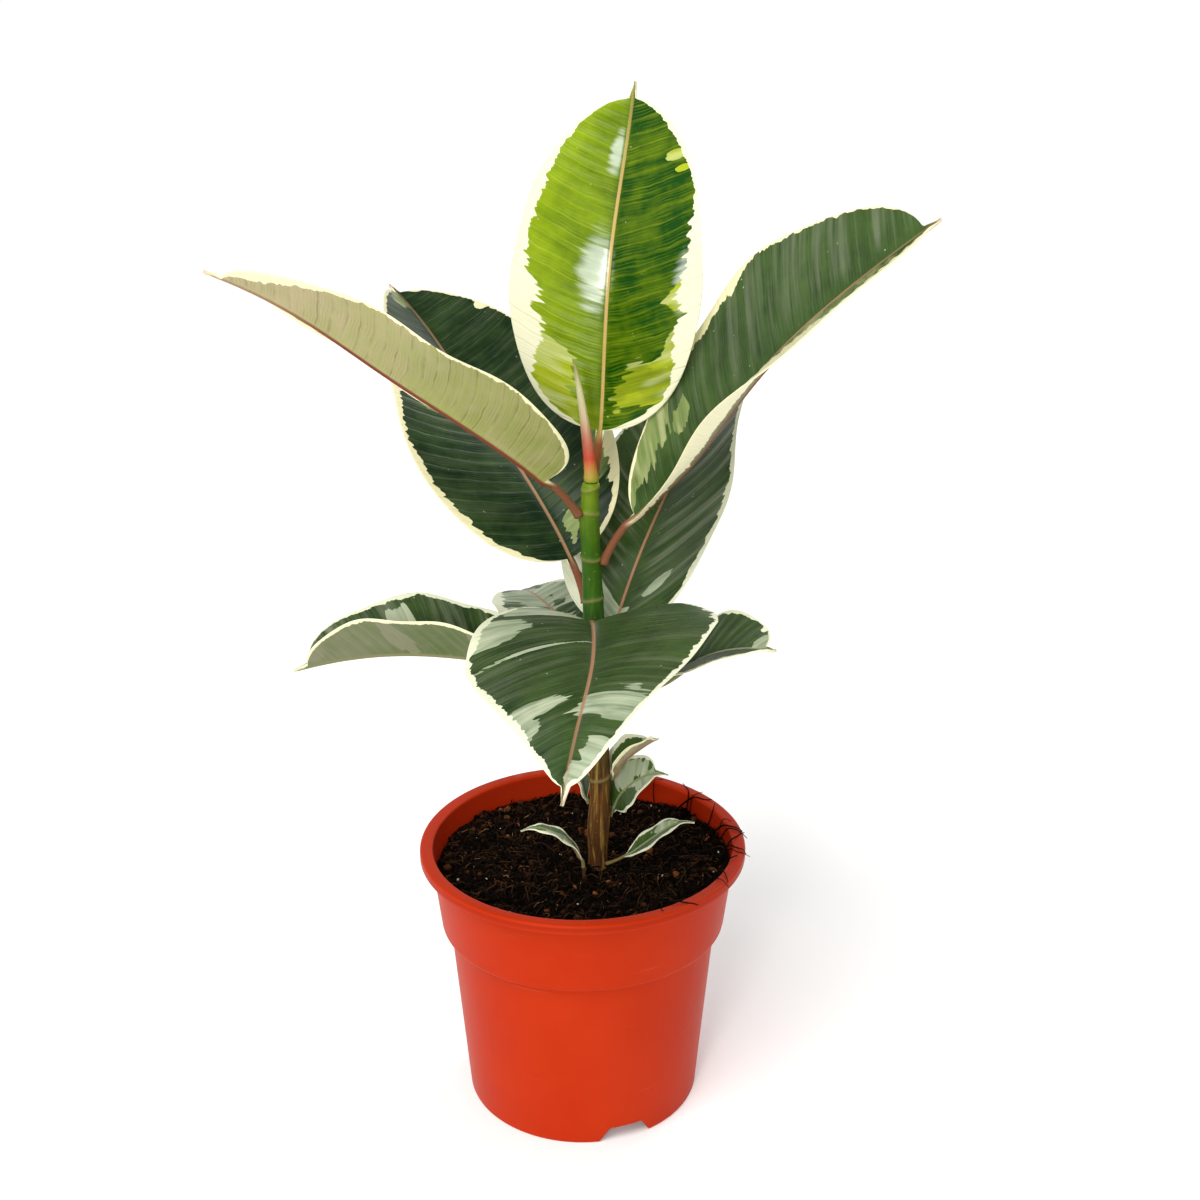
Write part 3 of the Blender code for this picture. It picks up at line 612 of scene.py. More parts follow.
    rough = roughness + (mottled - 0.5) * 0.16 + (streaks - 0.5) * 0.12 + under * 0.16 + speck * 0.2
    rough = rough - finish.field("stalk") * 0.14
    height = main_vein * -0.8 + fine_vein * -0.25 + mottled * 0.35 + streaks * 0.25
    finish.use(
        Base_Color=colour,
        Roughness=rough.clamped(),
        Coat_Weight=(coat_and_painted_glare + 0.03).clamped(),
        Normal=finish.bump(height, 0.7, 0.0003),
    )
    return finish


def pot_finish():
    """Moulded plastic: nearly even colour, faint clouding, drag lines up the wall, fine scratches
    and a little dried soil on the rim and round the foot. The inner wall is painted darker, as shade
    inside the pot."""
    finish = Finish("pot plastic", Specular_IOR_Level=0.06)
    place = finish.place()
    height = finish.height()
    cloud = finish.noise(place, 22.0, 3.0)
    colour = finish.mix(cloud.ramp(0.3, 0.7) * 0.5, (0.375, 0.020, 0.001), (0.425, 0.028, 0.003))
    drag = finish.noise(finish.stretched(260.0, 260.0, 7.0), 1.0, 3.0, 0.7)
    scratch = finish.noise(finish.stretched(18.0, 18.0, 900.0), 1.0, 2.0).ramp(0.70, 0.76)
    dust = finish.noise(place, 160.0, 5.0, 0.7).ramp(0.60, 0.74)
    low = height.ramp(0.022, 0.0) * 0.5
    high = height.ramp(RIM_HEIGHT - 0.004, RIM_HEIGHT) * 0.35
    dirt = (dust * (low + high)).clamped()
    # Painted shade: the inner wall is painted darker, as shade inside the pot.
    colour = finish.mix(finish.field("inside") * 0.45, colour, (0.200, 0.010, 0.003))
    colour = finish.mix(dirt, colour, (0.090, 0.050, 0.030))
    colour = finish.mix(scratch * 0.10, colour, (0.90, 0.40, 0.24))
    rough = 0.36 + (cloud - 0.5) * 0.16 + drag * 0.08 + dirt * 0.4 + scratch * 0.1
    bumps = drag * 0.5 + finish.noise(place, 900.0, 2.0) * 0.4 + scratch * 0.2 + dirt
    finish.use(Base_Color=colour, Roughness=rough.clamped(), Normal=finish.bump(bumps, 0.16, 0.0002))
    return finish


def soil_finish():
    """Peat: near-black with brown lumps and sparse pale flecks."""
    finish = Finish("potting soil", Specular_IOR_Level=0.02)
    place = finish.place()
    lumps = finish.noise(place, 210.0, 5.0, 0.65)
    fine = finish.noise(place, 900.0, 4.0, 0.7)
    colour = finish.colours(
        lumps,
        (0.25, (0.001, 0.0007, 0.0005)),
        (0.52, (0.004, 0.0022, 0.0014)),
        (0.68, (0.013, 0.006, 0.003)),
        (0.84, (0.050, 0.020, 0.008)),
    )
    bright = fine.ramp(0.66, 0.74)
    colour = finish.mix(bright * 0.6, colour, (0.210, 0.110, 0.050))
    bumps = lumps * 0.6 + fine * 0.5
    rough = 0.80 + (fine - 0.5) * 0.3
    finish.use(Base_Color=colour, Roughness=rough.clamped(), Normal=finish.bump(bumps, 0.9, 0.0012))
    return finish


def crumb_finish(name, *stops):
    """Colour from each crumb's own number, with a fine fibrous grain."""
    finish = Finish(name, Specular_IOR_Level=0.03)
    fine = finish.noise(finish.place(), 700.0, 4.0, 0.7)
    colour = finish.colours((finish.field("tint") + (fine - 0.5) * 0.35).clamped(), *stops)
    finish.use(
        Base_Color=colour,
        Roughness=(0.72 + (fine - 0.5) * 0.4).clamped(),
        Normal=finish.bump(fine, 0.7, 0.0006),
    )
    return finish


def stem_finish():
    """Bark from brown at the soil, through green-brown stripes, to green and yellow-green at the
    tip. Rings are paler."""
    finish = Finish("stem bark", Specular_IOR_Level=0.14)
    place = finish.place()
    height = finish.height()
    share = (height - SOIL_LEVEL) / (STEM_HIGH.z - SOIL_LEVEL)
    cloud = finish.noise(place, 90.0, 3.0)
    stripes = finish.noise(finish.stretched(620.0, 620.0, 42.0), 1.0, 4.0, 0.65)
    colour = finish.colours(
        (share + (cloud - 0.5) * 0.12).clamped(),
        (0.00, (0.045, 0.014, 0.003)),
        (0.22, (0.095, 0.036, 0.006)),
        (0.42, (0.030, 0.042, 0.004)),
        (0.62, (0.010, 0.050, 0.002)),
        (0.86, (0.034, 0.100, 0.002)),
        (1.00, (0.150, 0.230, 0.008)),
    )
    woody = share.ramp(0.62, 0.25)
    light = finish.mix(woody, (0.090, 0.180, 0.022), (0.260, 0.160, 0.030))
    colour = finish.mix(stripes.ramp(0.50, 0.66) * (0.20 + woody * 0.65), colour, light)
    dark = stripes.ramp(0.46, 0.34) * (0.15 + woody * 0.6)
    colour = finish.mix(dark, colour, (0.014, 0.007, 0.003))
    ring = finish.field("ring")
    colour = finish.mix(ring * 0.5, colour, (0.240, 0.200, 0.070))
    spots = finish.noise(place, 420.0, 2.0).ramp(0.68, 0.73)
    colour = finish.mix(spots * 0.4, colour, (0.420, 0.360, 0.200))
    rough = 0.46 + woody * 0.22 + (stripes - 0.5) * 0.2
    bumps = stripes * (0.35 + woody * 0.9) + spots * 0.3 + ring * 0.5
    finish.use(Base_Color=colour, Roughness=rough.clamped(), Normal=finish.bump(bumps, 0.7, 0.0006))
    return finish


def bud_finish():
    """Sheath of the next leaf: yellow-green foot, pink-red waist and a pale tip, finely lined."""
    finish = Finish("bud skin", Coat_Weight=0.1, Specular_IOR_Level=0.25)
    share = (finish.height() - BUD_LOW.z) / (BUD_HIGH.z - BUD_LOW.z)
    lines = finish.noise(finish.stretched(900.0, 900.0, 60.0), 1.0, 3.0)
    colour = finish.colours(
        (share + (lines - 0.5) * 0.10).clamped(),
        (0.00, (0.230, 0.260, 0.020)),
        (0.10, (0.420, 0.220, 0.040)),
        (0.20, (0.480, 0.050, 0.025)),
        (0.36, (0.520, 0.170, 0.110)),
        (0.54, (0.560, 0.440, 0.270)),
        (0.80, (0.520, 0.520, 0.280)),
        (1.00, (0.260, 0.200, 0.070)),
    )
    finish.use(
        Base_Color=colour,
        Roughness=(0.38 + (lines - 0.5) * 0.2).clamped(),
        Normal=finish.bump(lines, 0.35, 0.0003),
    )
    return finish


# ---- leaves ------------------------------------------------------------------------------------
def leaf_course(leaf, places):
    """Centre line, side and upward vectors, and share of the blade, at distances along the leaf.

    The line starts at the local origin and leads off along +X. Its direction turns and rises
    smoothly through the leaf's own values, and the points are the sums of short steps."""
    whole = leaf.petiole + leaf.length
    ends = [0, leaf.petiole, leaf.petiole + leaf.length / 3, leaf.petiole + leaf.length * 2 / 3, whole]

    def direction(distance):
        rise = np.radians(through(ends, leaf.rise, distance))
        turn = np.radians(through([0, leaf.petiole, whole], (0, *leaf.turn), distance))
        ahead = np.stack([np.cos(rise) * np.cos(turn), np.cos(rise) * np.sin(turn), np.sin(rise)], -1)
        return ahead, np.stack([-np.sin(turn), np.cos(turn), 0 * turn], -1)

    steps = 480
    middles = (np.arange(steps) + 0.5) * whole / steps
    walked = np.concatenate([np.zeros((1, 3)), np.cumsum(direction(middles)[0] * whole / steps, axis=0)])
    distances = np.arange(steps + 1) * whole / steps
    line = np.stack([np.interp(places, distances, walked[:, k]) for k in range(3)], -1)
    ahead, level = direction(places)
    share = np.clip((places - leaf.petiole) / leaf.length, 0, 1)
    roll = np.radians(leaf.roll[0] + (leaf.roll[1] - leaf.roll[0]) * share)[:, None]
    above = np.cross(ahead, level)
    side = np.cos(roll) * level + np.sin(roll) * above
    upward = np.cos(roll) * above - np.sin(roll) * level
    return line, side, upward, share


def half_width(leaf, share):
    """Half of the blade's width: an ellipse, narrowed towards the tip, that runs into a drip tip."""
    reach = np.clip(share * leaf.length / (leaf.length - TIP_LENGTH), 0, 1) ** leaf.belly
    ellipse = leaf.width / 2 * np.sqrt(4 * reach * (1 - reach))
    ellipse = ellipse * (1 - leaf.taper * np.clip(2 * reach - 1, 0, None))
    tip = np.minimum(TIP_HALF_WIDTH, TIP_HALF_WIDTH * (1 - share) * leaf.length / TIP_LENGTH)
    return np.sqrt(ellipse**2 + tip**2)


def spots_field(spots, climbed, across):
    """Above 0 inside any of the spots, which are ovals drawn out along the side veins."""
    field = np.full(across.shape, -1.0)
    for along_at, across_at, long, wide in spots:
        near = np.sqrt(((climbed - along_at) / long) ** 2 + ((across - across_at) / wide) ** 2)
        field = np.maximum(field, 1 - near)
    return field


def folded(leaf, columns, share):
    """How far out and how far up the columns lie, as shares of the half width: sums of short steps
    whose angle is the leaf's fold at the midrib and turns on by its curl towards the margin."""
    steps = 60
    middle = (np.arange(steps) + 0.5) / steps
    fold = leaf.fold[0] + (leaf.fold[1] - leaf.fold[0]) * share
    angle = np.radians(fold + leaf.curl * middle)
    position = np.abs(columns) * steps
    low = np.minimum(position.astype(int), steps - 1)
    part = position - low
    sums = []
    for step in (np.cos(angle), np.sin(angle)):
        table = np.pad(np.cumsum(step, axis=1) / steps, ((0, 0), (1, 0)))
        sums.append(table[:, low] * (1 - part) + table[:, low + 1] * part)
    return sums


def colour_fields(leaf, share, across, climbed, tone):
    """Fields that place a leaf's colours: its cream starts at its own share of the half width on
    each side, and spots lie along the climbing side veins."""
    colouring = COLOURING[leaf.name]
    habit = HABITS.get(leaf.name, SMALL_HABIT)
    tenths = np.linspace(0, 1, 11)
    left = np.interp(share, tenths, colouring.left)
    right = np.interp(share, tenths, colouring.right)
    edge_at = np.where(across > 0, left, right)
    margin = (np.abs(across) - edge_at) / np.clip(1.5 * (1 - edge_at), 0.11, 0.40)
    in_length = climbed / leaf.length
    return {
        "side": np.sign(across),
        "cream": np.maximum(margin, spots_field(colouring.cream, in_length, across) * 1.6),
        "pale": spots_field(colouring.pale, in_length, across),
        "tone": tone(share, across) + habit.lightness,
        "sheen": np.full(across.shape, habit.sheen),
        "gloss": spots_field(GLOSSY_SPOTS, share + 0 * across, across),
    }


def leaf_piece(order, leaf, petiole_radius, heading, finish, tone):
    """One leaf as a closed skin: petiole, midrib and blade.

    Loops of points follow the centre line. On the petiole a loop is a circle. On the blade its
    upper points run from the right margin to the left one and its lower points return. Across the
    blade the margin is folded up and curled, the thickness rounds off to nothing at the margin,
    the midrib lies in a shallow valley, as a low groove above and a rounded ridge below that thins
    towards the tip, and the blade is quilted by a cosine of the side veins' spacing. The margins
    rise and fall by a sine along the blade that grows with the square of the place across."""
    small = leaf.length < 0.06
    blade_rows = 60 if small else 180
    inner = 10 if small else 20
    run = np.linspace(0, 1, blade_rows + 1)
    share_rows = 0.2 * run + 0.8 * (1 - np.cos(math.pi * run)) / 2
    places = np.concatenate([
        np.linspace(0, leaf.petiole, 25)[:-1],
        leaf.petiole + leaf.length * share_rows,
    ])
    line, side, upward, share = leaf_course(leaf, places)
    half = np.maximum(half_width(leaf, share), TIP_END_HALF_WIDTH)[:, None]
    share = share[:, None]

    flat_part = (np.arange(inner + 1) / inner) ** 1.6 * MARGIN_START
    outwards = np.concatenate([flat_part, [0.975, 0.990, 0.998, 1.0]])
    across = np.concatenate([-outwards[:0:-1], outwards])
    columns = np.concatenate([across, across[-2:0:-1]])
    is_upper = np.arange(len(columns)) < len(across)
    facing = np.where(is_upper, 1.0, -1.0)

    out, lift = folded(leaf, columns, share)
    reach = half * columns
    slant = HABITS.get(leaf.name, SMALL_HABIT).slant
    climbed = share * leaf.length - slant * np.abs(reach) - VEIN_BEND * reach**2
    past = np.clip(np.abs(columns) - MARGIN_START, 0, None) / (1 - MARGIN_START)
    edge = np.sqrt(np.clip(1 - past**2, 0, 1))
    scale = petiole_radius / PETIOLE_RADIUS
    thick = LEAF_THICKNESS / 2 * min(1, scale + 0.2) * edge
    depth = facing * thick
    thinning = 1 - 0.75 * share
    ridge = 0.0020 * scale * thinning * np.exp(-((reach / (0.0019 * scale * (1.15 - 0.5 * share))) ** 2))
    groove = 0.0004 * scale * thinning * np.exp(-((reach / (0.0017 * scale)) ** 2))
    depth = depth - np.where(is_upper, groove, ridge)
    body = np.sin(np.clip(np.abs(columns), 0, 1) * math.pi)[None]
    quilt = 0.00020 * scale * np.cos(2 * math.pi * climbed / VEIN_SPACING) * body
    phase = 2 * math.pi * (2.6 * share + 0.19 * order) + 1.9 * np.sign(columns)
    wave = 0.0016 * scale * columns**2 * np.sin(phase) * np.sin(math.pi * np.clip(share, 0, 1))
    flat_side = half * np.sign(columns) * out
    valley = -0.0018 * scale * (1 - share) ** 0.3 * np.exp(-np.abs(reach) / (0.011 * scale))
    flat_up = half * lift + depth + quilt + wave + valley

    turns = np.where(is_upper, (1 - columns) * math.pi / 2, -(1 - columns) * math.pi / 2)
    flatten = smooth_step((places - leaf.petiole) / (4.4 * petiole_radius) + 0.9)[:, None]
    to_side = (1 - flatten) * petiole_radius * np.cos(turns) + flatten * flat_side
    to_up = (1 - flatten) * petiole_radius * np.sin(turns) + flatten * flat_up
    swell = 1 + 0.45 * np.exp(-places / 0.0035)[:, None]
    loops = line[:, None] + (to_side * swell)[..., None] * side[:, None]
    loops = loops + (to_up * swell)[..., None] * upward[:, None]
    loops[..., 0] = np.maximum(loops[..., 0], -0.0010)

    points = turned_about_z(loops, heading)
    box_low, box_high = (np.array(corner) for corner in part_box(leaf.name))
    points = points + (box_low + box_high) / 2 - (points.min(axis=(0, 1)) + points.max(axis=(0, 1))) / 2

    under = np.where(np.abs(columns) > 0.999, 0.5, (1 - facing) / 2)
    fields = {
        "vein": climbed + 0.371 * order,
        "reach": reach,
        "along": np.broadcast_to(share, reach.shape),
        "under": np.broadcast_to(under, reach.shape),
        "stalk": np.broadcast_to(1 - flatten, reach.shape),
        **colour_fields(leaf, share, np.broadcast_to(columns, reach.shape), climbed, tone),
    }
    around = len(columns)
    quads = closed_grid(len(places), around)[:, ::-1]
    caps = [cap[::-1] for cap in end_caps(len(places), around)]
    piece = make_piece(leaf.name + "_blade", points, quads, caps, fields, leaf.name)
    finish.paint(piece)
    return piece


def young_painted_light_tone(share, across):
    """Painted light: the left half is painted brighter, as lit, most towards its margin, and darkens a
    little towards the tip.
    """
    lit = smooth_step((across + 0.10) / 0.20)
    return 0.34 * lit + 0.42 * lit * np.abs(across) - 0.10 * share


def grown_tone(share, across):
    """The left half and the tip are slightly brighter."""
    return 0.08 * across + 0.05 * share


def build_leaves():
    """The large leaves climb down the stem by a fixed turn, and the small ones have set headings."""
    young = leaf_finish("young leaf", YOUNG_TONES, 0.32, 0.95)
    grown = leaf_finish("grown leaf", GROWN_TONES, 0.36, 0.0)
    upper = leaf_finish("upper leaf", UPPER_TONES, 0.34, 0.0)
    olive = leaf_finish("olive-backed leaf", OLIVE_TONES, 0.40, 0.0)
    low = leaf_finish("low leaf", LOW_TONES, 0.38, 0.0)
    small = leaf_finish("small leaf", SMALL_TONES, 0.40, 0.0)
    finishes = {
        "leaf_top": young,
        "leaf_left_raised": olive,
        "leaf_right_raised": upper,
        "leaf_back_left": upper,
        "leaf_low_left": low,
        "leaf_low_right": low,
    }
    for order, leaf in enumerate(LARGE_LEAVES):
        finish = finishes.get(leaf.name, grown)
        tone = young_painted_light_tone if order == 0 else grown_tone
        heading = SPIRAL_START + SPIRAL_STEP * order
        leaf_piece(order, leaf, PETIOLE_RADIUS, heading, finish, tone)
    for order, (heading, leaf) in enumerate(SMALL_LEAVES, len(LARGE_LEAVES)):
        leaf_piece(order, leaf, SMALL_PETIOLE_RADIUS, heading, small, grown_tone)


# ---- stem, bud and side shoot --------------------------------------------------------------------
def stem_at(height):
    """The stem's centre and radius at heights above the soil."""
    heights, drifts, radii = np.array(STEM_COURSE).T
    drift = through(heights, drifts, height)
    centre = np.stack([STEM_FOOT[0] + drift, STEM_FOOT[1] + 0 * height, SOIL_LEVEL + height], -1)
    return centre, through(heights, radii, height)


def build_stem():
    """Level rings of points: the radius adds a narrow bump at each scar ring, slow swelling
    between them, and ribs of bark whose depth grows towards the soil."""
    top = STEM_HIGH.z - SOIL_LEVEL
    rows, around = 420, 56
    height = np.linspace(-0.010, top, rows)
    centre, radius = stem_at(np.clip(height, 0, top))
    centre[:, 2] = SOIL_LEVEL + height
    turns = np.arange(around) * 2 * math.pi / around
    circle = np.stack([np.cos(turns), np.sin(turns), 0 * turns], -1)
    skin = centre[:, None] + circle[None] * radius[:, None, None]
    ring = np.zeros((rows, around))
    bump = np.zeros((rows, around))
    for k, (at, depth) in enumerate(STEM_RINGS):
        slant = 0.0011 * np.cos(turns - 2.4 * k)
        off = (height[:, None] - at - slant[None]) / 0.0009
        ring = np.maximum(ring, np.exp(-(off**2)))
        bump = bump + depth * np.exp(-((off / 1.5) ** 2))
    woody = 1 - smooth_step((height - 0.02) / 0.12)[:, None]
    stretched = skin * (1, 1, 0.10)
    bark = grain(stretched, 0.0011, 3) * 0.55 + grain(stretched, 0.0024, 4) * 0.45
    rough = bark * (0.00006 + 0.00030 * woody) + grain(skin, 0.012, 5) * 0.00025
    flare = 0.0012 * np.exp(-np.clip(height, 0, None) / 0.004)[:, None]
    cap = np.clip((top - height) / 0.0006, 0.2, 1)[:, None]
    points = centre[:, None] + circle[None] * ((radius[:, None] + bump + rough + flare) * cap)[..., None]
    quads, caps = closed_grid(rows, around), end_caps(rows, around)
    piece = make_piece("stem_bark", points, quads, caps, {"ring": ring}, "stem")
    stem_finish().paint(piece)


def build_bud():
    """A pointed sheath: its radius falls as the root of the remaining height, one overlapping edge
    winds up it as a low ridge, and its axis leans away as the height to the power 1.3."""
    rows, around = 120, 40
    share = np.linspace(0, 1, rows)[:, None]
    turns = np.arange(around)[None] * 2 * math.pi / around
    low, high = np.array(BUD_LOW), np.array(BUD_HIGH)
    foot = (high[0] + low[0]) / 2 + (high[0] - low[0]) * 0.235
    lean = BUD_LEAN * share**1.3
    radius = BUD_RADIUS * np.sqrt(1 - share) * (1 - 0.25 * share) + BUD_TIP_RADIUS
    radius = radius * (1 + 0.10 * np.exp(-((share - 0.03) / 0.03) ** 2))
    lap = np.mod(turns - 2.1 * share - 4.0, 2 * math.pi)
    radius = radius * (1 + 0.09 * np.exp(-lap / 0.5) * smooth_step(share / 0.1))
    x = foot + lean + radius * np.cos(turns)
    y = (high[1] + low[1]) / 2 + radius * np.sin(turns)
    z = low[2] + (high[2] - low[2]) * share + 0 * turns
    points = np.stack([x, y, z], -1)
    quads, caps = closed_grid(rows, around), end_caps(rows, around)
    piece = make_piece("bud_skin", points, quads, caps, None, "bud_sheath")
    bud_finish().paint(piece)


def build_shoot():
    """A short twisted twig out of the soil."""
    rows, around, root = 40, 20, SOIL_LEVEL - 0.004
    share = np.linspace(0, 1, rows)
    height = root + (SHOOT_HIGH.z - root) * share
    sway = 0.0003 * np.sin(share * 7)
    line = np.stack([SHOOT_PLACE[0] + sway, SHOOT_PLACE[1] + 0 * share, height], -1)
    radius = SHOOT_RADIUS * (1 - 0.25 * share) + 0.0002 * np.exp(-((share - 0.9) / 0.05) ** 2)
    points = tube(line, radius, around)
    points = points + grain(points * (1, 1, 0.2), 0.0008, 6)[..., None] * 0.00008
    quads = closed_grid(rows, around)[:, ::-1]
    caps = [cap[::-1] for cap in end_caps(rows, around)]
    piece = make_piece("side_shoot_bark", points, quads, caps, None, "side_shoot")
    crumb_finish("shoot bark", (0.0, (0.05, 0.022, 0.010)), (1.0, (0.16, 0.08, 0.03))).paint(piece)


# ---- pot ---------------------------------------------------------------------------------------
def rounded_outline(corners):
    """(radius, height) along an outline whose corners (radius, height, rounding) are replaced by
    arcs: each arc is the quadratic curve from one cut-back side through the corner to the other."""
    spots = np.array(corners, float)
    path = [spots[:1, :2]]
    for before, here, after in zip(spots[:-2], spots[1:-1], spots[2:]):
        back = before[:2] - here[:2]
        ahead = after[:2] - here[:2]
        cut_back = min(here[2], 0.45 * np.linalg.norm(back))
        cut_ahead = min(here[2], 0.45 * np.linalg.norm(ahead))
        first = here[:2] + back / np.linalg.norm(back) * cut_back
        second = here[:2] + ahead / np.linalg.norm(ahead) * cut_ahead
        u = np.linspace(0, 1, 6)[:, None]
        path.append((1 - u) ** 2 * first + 2 * u * (1 - u) * here[:2] + u**2 * second)
    path.append(spots[-1:, :2])
    return np.concatenate(path)


def resampled(path, longest):
    """The same path with points added so that no step is longer than the given length."""
    pieces = []
    for first, second in zip(path[:-1], path[1:]):
        count = max(1, math.ceil(np.linalg.norm(second - first) / longest))
        pieces.append(first + (second - first) * (np.arange(count) / count)[:, None])
    return np.concatenate([*pieces, path[-1:]])


def notch_rise(headings):
    """How far the foot's lower edge is cut up at each heading: a trapezoid with softened corners,
    repeated round the pot."""
    spacing = 360 / NOTCH_COUNT
    off = np.abs(np.mod(np.degrees(headings) - NOTCH_HEADING + spacing / 2, spacing) - spacing / 2)
    ramp = (NOTCH_LOW_HALF_ANGLE - off) / (NOTCH_LOW_HALF_ANGLE - NOTCH_TOP_HALF_ANGLE)
    ramp = np.clip(ramp, 0, 1)
    return NOTCH_HEIGHT * (0.8 * ramp + 0.2 * smooth_step(ramp))


def build_pot():
    """The pot's outline turned about Z. Below the raised floor, heights are squeezed between the
    floor and the foot's lower edge, which rises in the notches. The collar's inside is ribbed."""
    under = RIM_HEIGHT - POT_WALL
    floor_top = FLOOR_RAISE + POT_WALL
    inner = COLLAR_TOP_RADIUS - POT_WALL
    corners = [
        (0.0, 0.0, 0),
        (PAD_RADIUS + POT_WALL, 0.0, 0.0008),
        (PAD_RADIUS + PAD_SLOPE + POT_WALL, FLOOR_RAISE, 0.0012),
        (FOOT_RADIUS + BODY_LEAN * FLOOR_RAISE - POT_WALL, FLOOR_RAISE, 0.0008),
        (FOOT_RADIUS - POT_WALL, 0.0, 0.0005),
        (FOOT_RADIUS, 0.0, 0.0007),
        (BODY_TOP_RADIUS, STEP_TOP - COLLAR_STEP, 0.0012),
        (COLLAR_LOW_RADIUS, STEP_TOP, 0.0016),
        (COLLAR_TOP_RADIUS, under, 0.0010),
        (RIM_RADIUS - POT_WALL, under, 0.0006),
        (RIM_RADIUS - POT_WALL, RIM_HEIGHT - LIP_HEIGHT, 0.0004),
        (RIM_RADIUS, RIM_HEIGHT - LIP_HEIGHT, 0.0006),
        (RIM_RADIUS, RIM_HEIGHT, 0.0016),
        (inner, RIM_HEIGHT, 0.0016),
        (COLLAR_LOW_RADIUS - POT_WALL, STEP_TOP + POT_WALL, 0.0010),
        (BODY_TOP_RADIUS - POT_WALL, STEP_TOP - COLLAR_STEP, 0.0010),
        (FOOT_RADIUS + BODY_LEAN * floor_top - POT_WALL, floor_top, 0.0020),
        (PAD_RADIUS + PAD_SLOPE, floor_top, 0.0010),
        (PAD_RADIUS, POT_WALL, 0.0010),
        (0.0, POT_WALL, 0),
    ]
    path = resampled(rounded_outline(corners), 0.0024)[1:-1]
    flank = np.linspace(NOTCH_TOP_HALF_ANGLE - 0.6, NOTCH_LOW_HALF_ANGLE + 0.6, 20)
    centres = NOTCH_HEADING + 360 / NOTCH_COUNT * np.arange(NOTCH_COUNT)[:, None]
    turns = [np.arange(0, 360, 1.25), np.ravel(centres - flank), np.ravel(centres + flank)]
    headings = np.radians(np.unique(np.round(np.mod(np.concatenate(turns), 360), 3)))
    radius, height = path[:, :1] + 0 * headings, path[:, 1:] + 0 * headings

    in_skirt = (path[:, 1] < FLOOR_RAISE) & (path[:, 0] > PAD_RADIUS + 0.012)
    rise = notch_rise(headings)[None]
    lifted = rise + height * (1 - rise / FLOOR_RAISE)
    radius = np.where(in_skirt[:, None], radius + BODY_LEAN * (lifted - height), radius)
    height = np.where(in_skirt[:, None], lifted, height)
    top_row = int(np.argmax(path[:, 0] >= RIM_RADIUS - 1e-5))
    inside = np.arange(len(path)) > top_row
    ribbed = inside & (path[:, 1] > RIM_HEIGHT - 0.016) & (path[:, 1] < RIM_HEIGHT - 0.002)
    radius = radius - np.where(ribbed, 0.00018 * np.cos(path[:, 1] / 0.0024 * 2 * math.pi), 0)[:, None]
    sag = 0.00035 * np.cos(3 * headings + 0.7)[None] * smooth_step((height - 0.03) / 0.11)
    radius = radius + np.where(height > RIM_HEIGHT - 0.05, sag, sag * 0.5)

    points = np.stack([radius * np.cos(headings), radius * np.sin(headings), height], -1)
    around = len(headings)
    quads = closed_grid(len(path), around)
    poles = np.array([[0, 0, 0], [0, 0, POT_WALL]])
    count = len(path) * around
    k = np.arange(around)
    after = (k + 1) % around
    last = (len(path) - 1) * around
    fans = np.concatenate([
        np.stack([np.full(around, count), after, k], -1),
        np.stack([np.full(around, count + 1), last + k, last + after], -1),
    ])
    points = np.concatenate([points.reshape(-1, 3), poles])
    # Painted shade: the inner wall below the rim is marked to be painted darker, as shade.
    painted_shade_rows = inside & (path[:, 1] < RIM_HEIGHT - 0.0012)
    fields = {"inside": np.append(np.repeat(painted_shade_rows, around).astype(float), [0, 1])}
    piece = make_piece("pot_shell", points, quads, fans, fields, "pot")
    pot_finish().paint(piece)


# ---- soil --------------------------------------------------------------------------------------
def soil_height(radius_share, headings):
    """Soil surface: level round the stem, and higher towards the wall on the mounded side."""
    facing = (1 + np.cos(headings - math.radians(SOIL_MOUND_HEADING))) / 2
    return SOIL_LEVEL + SOIL_MOUND * facing**2 * radius_share**2


def wall_radius(height):
    """Radius of the pot's inner wall inside the collar."""
    return np.interp(height, [STEP_TOP, RIM_HEIGHT], [COLLAR_LOW_RADIUS, COLLAR_TOP_RADIUS]) - POT_WALL


def soil_top(x, y):
    """Height of the lumpy soil surface at places: the mound, plus three sizes of lump."""
    radius = np.hypot(x, y)
    smooth = soil_height(radius / SOIL_RADIUS, np.arctan2(y, x))
    flat = np.stack([x, y, 0 * x], -1)
    lumps = 0.0020 * grain(flat, 0.014, 1) + 0.0012 * grain(flat, 0.006, 2) + 0.0006 * grain(flat, 0.0024, 7)
    return smooth + lumps


def build_soil():
    """A disc of soil: rings of points at lumpy heights inside the wall, closed by a deep skirt."""
    rows, around = 110, 300
    headings = np.arange(around) * 2 * math.pi / around
    share = np.linspace(1, 0.006, rows)[:, None]
    edge = wall_radius(SOIL_LEVEL) - 0.0004
    radius = share * edge + 0 * headings
    x, y = radius * np.cos(headings), radius * np.sin(headings)
    height = soil_top(x, y)
    radius = np.minimum(radius, wall_radius(height) - 0.0003)
    top = np.stack([radius * np.cos(headings), radius * np.sin(headings), height], -1)
    skirt = []
    for depth, gap in ((0.060, 0.006), (0.022, 0.0016), (0.008, 0.0006)):
        level = SOIL_LEVEL - depth
        in_collar = level > STEP_TOP
        ring = wall_radius(level) if in_collar else FOOT_RADIUS + BODY_LEAN * level - POT_WALL
        ring = ring - gap
        skirt.append(np.stack([ring * np.cos(headings), ring * np.sin(headings), level + 0 * headings], -1))
    points = np.concatenate([np.array(skirt), top])
    quads = closed_grid(len(points), around)
    caps = end_caps(len(points), around)
    piece = make_piece("soil_bed", points, quads, caps, None, "soil")
    soil_finish().paint(piece)


